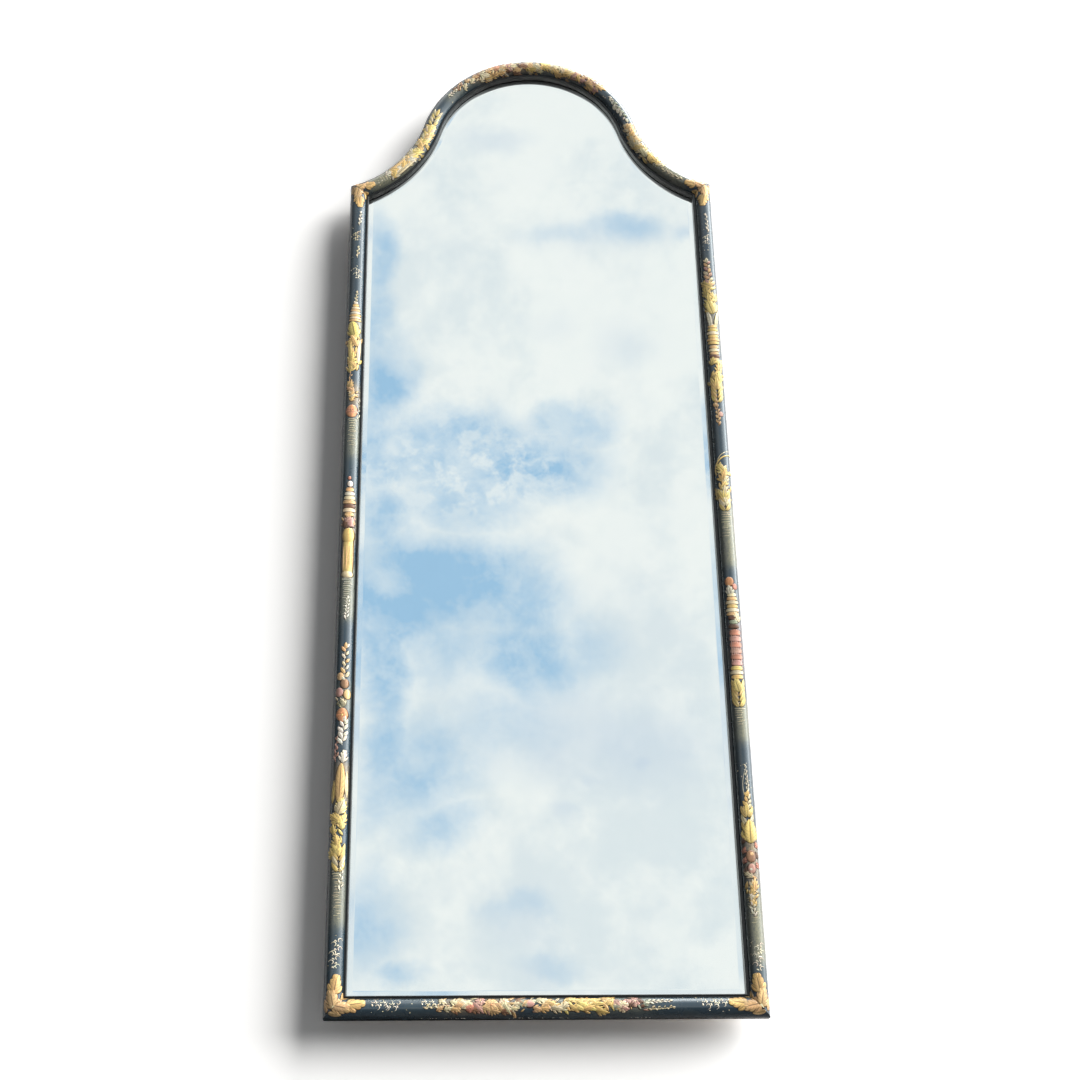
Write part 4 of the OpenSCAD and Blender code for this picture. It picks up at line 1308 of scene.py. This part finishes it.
def behindMirror(tree, place3):
    # 1 where the wall lies behind the mirror: |X| less than a width that narrows from the shoulders to the
    # crown's middle, or inside a disc under the crown
    parts = separate(tree, place3)
    inset = studio["openingInset"]
    narrowing = calc(tree, "POWER", remap(tree, parts["Z"], shoulderZ * mm, crownZ * mm, 1.0, 0.0), 2.5)
    width = calc(tree, "ADD", (crownRadius - inset) * mm,
                 times(tree, narrowing, (halfWidth - crownRadius) * mm))
    side = calc(tree, "LESS_THAN", calc(tree, "ABSOLUTE", parts["X"]), width)
    low = calc(tree, "LESS_THAN", parts["Z"], crownZ * mm)
    high = calc(tree, "GREATER_THAN", parts["Z"], (footZ + inset) * mm)
    field = times(tree, side, times(tree, low, high))
    far = vectorLength(tree, vectorMath(tree, "SUBTRACT", place3, (0, studio["wallY"], crownZ * mm)))
    return calc(tree, "MAXIMUM", field, calc(tree, "LESS_THAN", far, (crownRadius - inset) * mm))


def backdropMaterial(name, isWall, tone, seen, mirrored):
    # matt grey for the light it throws back, seen and reflected at brightnesses of its own, and dimmer through
    # the plate. The wall is clear from behind, and lets light through to the back of the mirror, but not light
    # that comes off the back.
    material, tree = newMaterial(name)[:2]
    tree.nodes.clear()
    place3 = objectPlace(tree)
    paper = blendColour(tree, noise(tree, place3, 3.0, 4.0, 0.5), (0.98, 0.98, 0.98, 1), (1, 1, 1, 1))
    path = addNode(tree, "ShaderNodeLightPath").outputs
    # painted reflected light and shade: the wall is reflected darker on the left and brighter on the right, and
    # in painted shadow below the foot
    shine = remap(tree, separate(tree, place3)["X"], -0.2, 0.2, *mirrored)
    if isWall:
        z = separate(tree, place3)["Z"]
        shine = times(tree, shine, remap(tree, z, footZ * mm - 0.002, footZ * mm, studio["footShade"], 1.0))
    level = calc(tree, "ADD", tone, times(tree, path["Is Glossy Ray"], calc(tree, "SUBTRACT", shine, tone)))
    direct = calc(tree, "MAXIMUM", path["Is Camera Ray"], path["Is Transmission Ray"])
    dimmed = times(tree, path["Is Transmission Ray"], seen * studio["plateDims"])
    shown = calc(tree, "SUBTRACT", seen, dimmed)
    level = calc(tree, "ADD", level, times(tree, direct, calc(tree, "SUBTRACT", shown, level)))
    paper = blendColour(tree, 1.0, paper, combineColour(tree, level, level, level), "MULTIPLY")
    surface = addNode(tree, "ShaderNodeBsdfDiffuse", {"Color": paper}).outputs[0]
    if isWall:
        clear = addNode(tree, "ShaderNodeBsdfTransparent").outputs[0]
        depth = calc(tree, "SUBTRACT", path["Diffuse Depth"], path["Is Diffuse Ray"])
        opening = times(tree, behindMirror(tree, place3), calc(tree, "SUBTRACT", 1.0, path["Is Camera Ray"]))
        opening = times(tree, opening, calc(tree, "LESS_THAN", depth, 0.5))
        behind = addNode(tree, "ShaderNodeNewGeometry").outputs["Backfacing"]
        share = calc(tree, "MAXIMUM", behind, opening)
        surface = addNode(tree, "ShaderNodeMixShader", {0: share, 1: surface, 2: clear}).outputs[0]
    addNode(tree, "ShaderNodeOutputMaterial", {"Surface": surface})
    return material


def makeStage():
    # floor below the mirror and wall just behind it
    reach, z, y = studio["reach"], studio["floorZ"], studio["wallY"]
    stageSheet("pale_floor", [(-reach, -reach, z), (reach, -reach, z), (reach, reach, z), (-reach, reach, z)],
               backdropMaterial("paleFloor", False, studio["floorTone"], studio["floorSeen"],
                                studio["floorMirrored"]))
    stageSheet("pale_wall", [(-reach, y, z), (reach, y, z), (reach, y, reach), (-reach, y, reach)],
               backdropMaterial("paleWall", True, studio["wallTone"], studio["wallSeen"],
                                studio["wallMirroredLightAndShade"]))


def makeLamp(name, source, spread, strength):
    # a broad soft lamp, far off, so that the light is even along the whole mirror
    lamp = bpy.data.lights.new(name, "SUN")
    lamp.angle = math.radians(spread)
    lamp.energy = strength
    lamp.color = studio["lampTint"]
    holder = addObject(name, lamp)
    holder.rotation_euler = (-Vector(source)).to_track_quat("-Z", "Y").to_euler()
    holder.visible_glossy = False    # the lacquer reflects the sky and the white panel instead
    holder.visible_transmission = False


# Openings of blue in the reflected cloud: degrees right of straight ahead and up, how far they spread, strength
skyBlue = [
    (-4.5, 33.3, 0.8, 2.4, 0.72), (-4.3, 30.9, 0.7, 1.8, 0.75), (-4.0, 28.9, 1.2, 2.1, 0.85),
    (-4.1, 26.5, 1.1, 2.0, 0.9), (-2.5, 26.7, 2.3, 1.5, 0.8), (-0.5, 27.0, 2.6, 1.2, 0.85),
    (1.5, 26.2, 2.8, 1.4, 0.95), (3.2, 27.5, 1.7, 0.9, 0.65), (-1.1, 25.0, 2.4, 1.3, 0.85),
    (-3.8, 24.2, 1.3, 1.8, 1.0), (-1.7, 22.0, 3.9, 2.1, 1.0), (-0.1, 22.3, 2.2, 1.5, 1.0),
    (-3.2, 22.7, 1.9, 1.6, 1.0), (-4.3, 21.6, 1.1, 1.8, 0.95), (-3.3, 20.9, 2.2, 1.8, 1.0),
    (-3.9, 18.9, 1.1, 2.4, 0.92), (2.3, 19.5, 2.4, 1.8, 0.78), (1.6, 21.3, 2.2, 1.6, 0.7),
    (3.8, 19.8, 1.7, 1.4, 0.5), (-1.1, 19.5, 2.5, 1.8, 0.5), (-3.9, 16.3, 1.0, 2.1, 0.8),
    (-2.7, 15.4, 2.4, 2.3, 0.7), (-2.3, 16.0, 1.6, 1.2, 0.75), (-1.7, 13.2, 1.7, 0.8, 0.55),
    (-4.0, 14.2, 0.8, 1.4, 0.5), (-3.8, 10.2, 1.1, 1.9, 0.65), (-2.8, 8.3, 0.8, 0.5, 0.55),
    (5.7, 34.5, 1.8, 0.8, 0.6), (3.3, 34.3, 1.5, 0.5, 0.3), (8.8, 34.1, 0.9, 0.4, 0.3),
    (0.6, 17.0, 2.6, 1.4, 0.38), (1.3, 10.3, 1.2, 0.4, 0.3), (2.1, 8.6, 1.0, 0.4, 0.3),
]
# Grey undersides of the cloud, and where thin white streaks cross the blue
skyGrey = [
    (3.9, 16.5, 4.4, 2.1, 0.6), (5.6, 30.3, 1.2, 1.2, 0.4), (0.5, 37.6, 1.5, 0.6, 0.5),
    (5.0, 34.2, 2.9, 1.0, 0.45), (6.1, 15.8, 0.5, 0.5, 0.7), (4.3, 14.8, 0.5, 0.4, 0.5),
    (3.1, 13.5, 0.5, 0.6, 0.4), (1.2, 9.9, 1.3, 1.0, 0.4), (1.7, 8.4, 0.8, 0.7, 0.4),
    (8.8, 34.3, 1.2, 0.5, 0.35), (2.6, 30.9, 0.9, 0.7, 0.2), (5.9, 19.8, 1.9, 4.3, 0.15),
]
skyStreaks = [(-0.7, 26.0, 4.2, 2.2, 0.62)]
skyLook = {
    "blue": (160, 199, 230),
    "cloudHollow": (227, 236, 240),
    "cloudCrest": (245, 249, 248),
    "cloudGrey": (204, 219, 234),
    "stir": (0.07, 0.07, 0.0),       # how far noise bends the edges of the openings
    "closing": (11, 16),             # degrees to the right over which the cloud closes
    "rimGlow": 0.14,                 # how much brighter it is there and near the horizon
    "leftShade": 0.15,               # level of the sky far on the left, for the lacquer
    "lowShade": 0.3,                 # and below the horizon
    "panelRise": [(12, 58, 0.32), (52, 86, 0.68)],    # degrees right, from and to, share of the panel's light
    "panelEnd": (110, 125),
}


def skyField(tree, spot, patches):
    # the strongest of several soft ovals at each point
    field = 0.0
    for right, up, wide, tall, strength in patches:
        middle = (math.tan(math.radians(right)), math.tan(math.radians(up)), 0)
        scale = (1 / math.tan(math.radians(wide)), 1 / math.tan(math.radians(tall)), 1.0)
        offset = vectorMath(tree, "MULTIPLY", vectorMath(tree, "SUBTRACT", spot, middle), scale)
        field = calc(tree, "MAXIMUM", field, remap(tree, vectorLength(tree, offset), 0.15, 1.6, strength, 0.0))
    return field


def skyColour(tree, ray, parts, rim):
    # cloud with openings of blue. Places are taken where the ray meets a sheet square ahead of the mirror: X
    # and Z over the distance forwards. Noise bends the edges of the openings, thins the blue and lays streaks
    # over it.
    ahead = calc(tree, "MAXIMUM", times(tree, parts["Y"], -1.0), 0.02)
    across, up = (calc(tree, "DIVIDE", parts[axis], ahead) for axis in ("X", "Z"))
    flat = addNode(tree, "ShaderNodeCombineXYZ", {0: across, 1: up, 2: 0.0}).outputs[0]
    stir = addNode(tree, "ShaderNodeTexNoise", {"Vector": ray, "Scale": 10.0, "Detail": 6.0,
                                                "Roughness": 0.62}).outputs["Color"]
    stir = vectorMath(tree, "SUBTRACT", stir, (0.5, 0.5, 0.5))
    spot = vectorMath(tree, "ADD", flat, vectorMath(tree, "MULTIPLY", stir, skyLook["stir"]))
    fine = vectorMath(tree, "ADD", flat, (3.7, 1.3, 0.6))
    wide = remap(tree, noise(tree, ray, 3.2, 6.0, 0.6, 0.3), 0.56, 0.72, 0.0, 0.6)
    beyond = remap(tree, calc(tree, "ABSOLUTE", parts["X"]), 0.5, 0.75)
    blue = calc(tree, "MAXIMUM", skyField(tree, spot, skyBlue), times(tree, wide, beyond))
    haze = noise(tree, ray, 16.0, 6.0, 0.6, 0.2)
    blue = times(tree, blue, remap(tree, haze, 0.35, 0.66, 1.1, 0.74))
    blue = times(tree, blue, remap(tree, noise(tree, fine, 48.0, 8.0, 0.66, 0.2), 0.36, 0.64, 1.24, 0.86))
    streaks = remap(tree, noise(tree, fine, 62.0, 6.0, 0.62, 0.25), 0.44, 0.62)
    streaks = times(tree, streaks, skyField(tree, spot, skyStreaks))
    blue = times(tree, blue, calc(tree, "SUBTRACT", 1.0, streaks), clamp=True)
    billow = noise(tree, ray, 11.0, 7.0, 0.6, 0.1)
    tuft = noise(tree, ray, 34.0, 6.0, 0.6, 0.1)
    puff = calc(tree, "ADD", times(tree, billow, 0.65), times(tree, tuft, 0.35))
    cloud = blendColour(tree, remap(tree, puff, 0.38, 0.56), rgba(skyLook["cloudHollow"]),
                        rgba(skyLook["cloudCrest"]))
    grey = times(tree, skyField(tree, spot, skyGrey), remap(tree, haze, 0.35, 0.65, 1.1, 0.7), clamp=True)
    cloud = blendColour(tree, grey, cloud, rgba(skyLook["cloudGrey"]))
    blue = times(tree, blue, calc(tree, "SUBTRACT", 1.0, rim))
    return blendColour(tree, blue, cloud, rgba(skyLook["blue"]))


def skyLevel(tree, parts, azimuth, rim, throughPlate):
    # the lacquer reflects a darker left and a bright panel on the right, the mirror only sky
    lowLight = remap(tree, parts["Z"], -0.3, -0.05, skyLook["lowShade"], 1.0)
    leftShade = remap(tree, parts["X"], -0.95, -0.3, skyLook["leftShade"], 1.0)
    leftShade = calc(tree, "MAXIMUM", leftShade, throughPlate)
    rises = [remap(tree, azimuth, math.radians(start), math.radians(end), 0.0, gain)
             for start, end, gain in skyLook["panelRise"]]
    ends = [math.radians(angle) for angle in skyLook["panelEnd"]]
    panel = times(tree, calc(tree, "ADD", *rises), remap(tree, azimuth, *ends, 1.0, 0.0))
    panel = times(tree, panel, remap(tree, parts["Z"], -0.1, 0.5, 0.25, 1.0))
    panel = times(tree, panel, calc(tree, "SUBTRACT", 1.0, throughPlate))
    rightGlow = calc(tree, "ADD", 1.0, times(tree, panel, studio["panelShine"]))
    above = remap(tree, parts["Z"], 0.7, 0.95, 1.0, 1.0 + studio["overhead"])
    level = times(tree, times(tree, lowLight, times(tree, leftShade, above)), rightGlow)
    return times(tree, level, calc(tree, "ADD", 1.0, times(tree, rim, skyLook["rimGlow"])))


def makeWorld():
    # white where the camera sees it, the sky in reflections, a plain soft fill for everything else
    world = bpy.data.worlds.new("paleStudio")
    bpy.context.scene.world = world
    world.use_nodes = True
    tree = world.node_tree
    tree.nodes.clear()
    ray = addNode(tree, "ShaderNodeTexCoord").outputs["Generated"]
    parts = separate(tree, ray)
    path = addNode(tree, "ShaderNodeLightPath").outputs
    azimuth = calc(tree, "ARCTAN2", parts["X"], times(tree, parts["Y"], -1.0))
    closing = [math.radians(angle) for angle in skyLook["closing"]]
    rim = calc(tree, "MAXIMUM", remap(tree, parts["Z"], 0.02, 0.1, 1.0, 0.0), remap(tree, azimuth, *closing))
    sky = skyColour(tree, ray, parts, rim)
    shade = skyLevel(tree, parts, azimuth, rim, path["Is Transmission Ray"])
    under = times(tree, remap(tree, parts["Z"], -0.5, 0.35, studio["fillBelow"], 1.0), studio["fill"])
    seen = addNode(tree, "ShaderNodeBackground", {"Color": (1, 1, 1, 1), "Strength": 1.0}).outputs[0]
    mirrored = addNode(tree, "ShaderNodeBackground", {"Color": sky, "Strength": shade}).outputs[0]
    soft = addNode(tree, "ShaderNodeBackground", {"Color": studio["fillTint"], "Strength": under}).outputs[0]
    shiny = calc(tree, "MAXIMUM", path["Is Glossy Ray"], path["Is Transmission Ray"])
    shiny = times(tree, shiny, calc(tree, "LESS_THAN", path["Diffuse Depth"], 0.5))
    lit = addNode(tree, "ShaderNodeMixShader", {0: shiny, 1: soft, 2: mirrored}).outputs[0]
    lit = addNode(tree, "ShaderNodeMixShader", {0: path["Is Camera Ray"], 1: lit, 2: seen}).outputs[0]
    addNode(tree, "ShaderNodeOutputWorld", {"Surface": lit})


def makeCamera():
    # looks up from below the foot of the mirror, a little left of its middle
    yaw, pitch, roll = (math.radians(studio[key]) for key in ("cameraYaw", "cameraPitch", "cameraRoll"))
    ahead = Vector((math.sin(yaw) * math.cos(pitch), math.cos(yaw) * math.cos(pitch), math.sin(pitch)))
    right = Vector((math.cos(yaw), -math.sin(yaw), 0))
    up = right.cross(ahead)
    tiltedRight = right * math.cos(roll) + up * math.sin(roll)
    tiltedUp = up * math.cos(roll) - right * math.sin(roll)
    data = bpy.data.cameras.new("photoCamera")
    data.sensor_width = studio["sensor"]
    data.lens = studio["lens"]
    data.shift_x = studio["shift"]
    data.clip_start = 0.01
    camera = addObject("photoCamera", data)
    turn = Matrix((tiltedRight, tiltedUp, -ahead)).transposed()
    camera.matrix_world = Matrix.Translation(studio["cameraPlace"]) @ turn.to_4x4()
    bpy.context.scene.camera = camera


print("studio")
makeStage()
makeLamp("key_lamp", studio["keyFrom"], studio["keySpread"], studio["keyStrength"])
makeLamp("back_lamp", studio["backFrom"], studio["backSpread"], studio["backStrength"])
makeWorld()
makeCamera()
bpy.context.scene.view_settings.view_transform = "Standard"
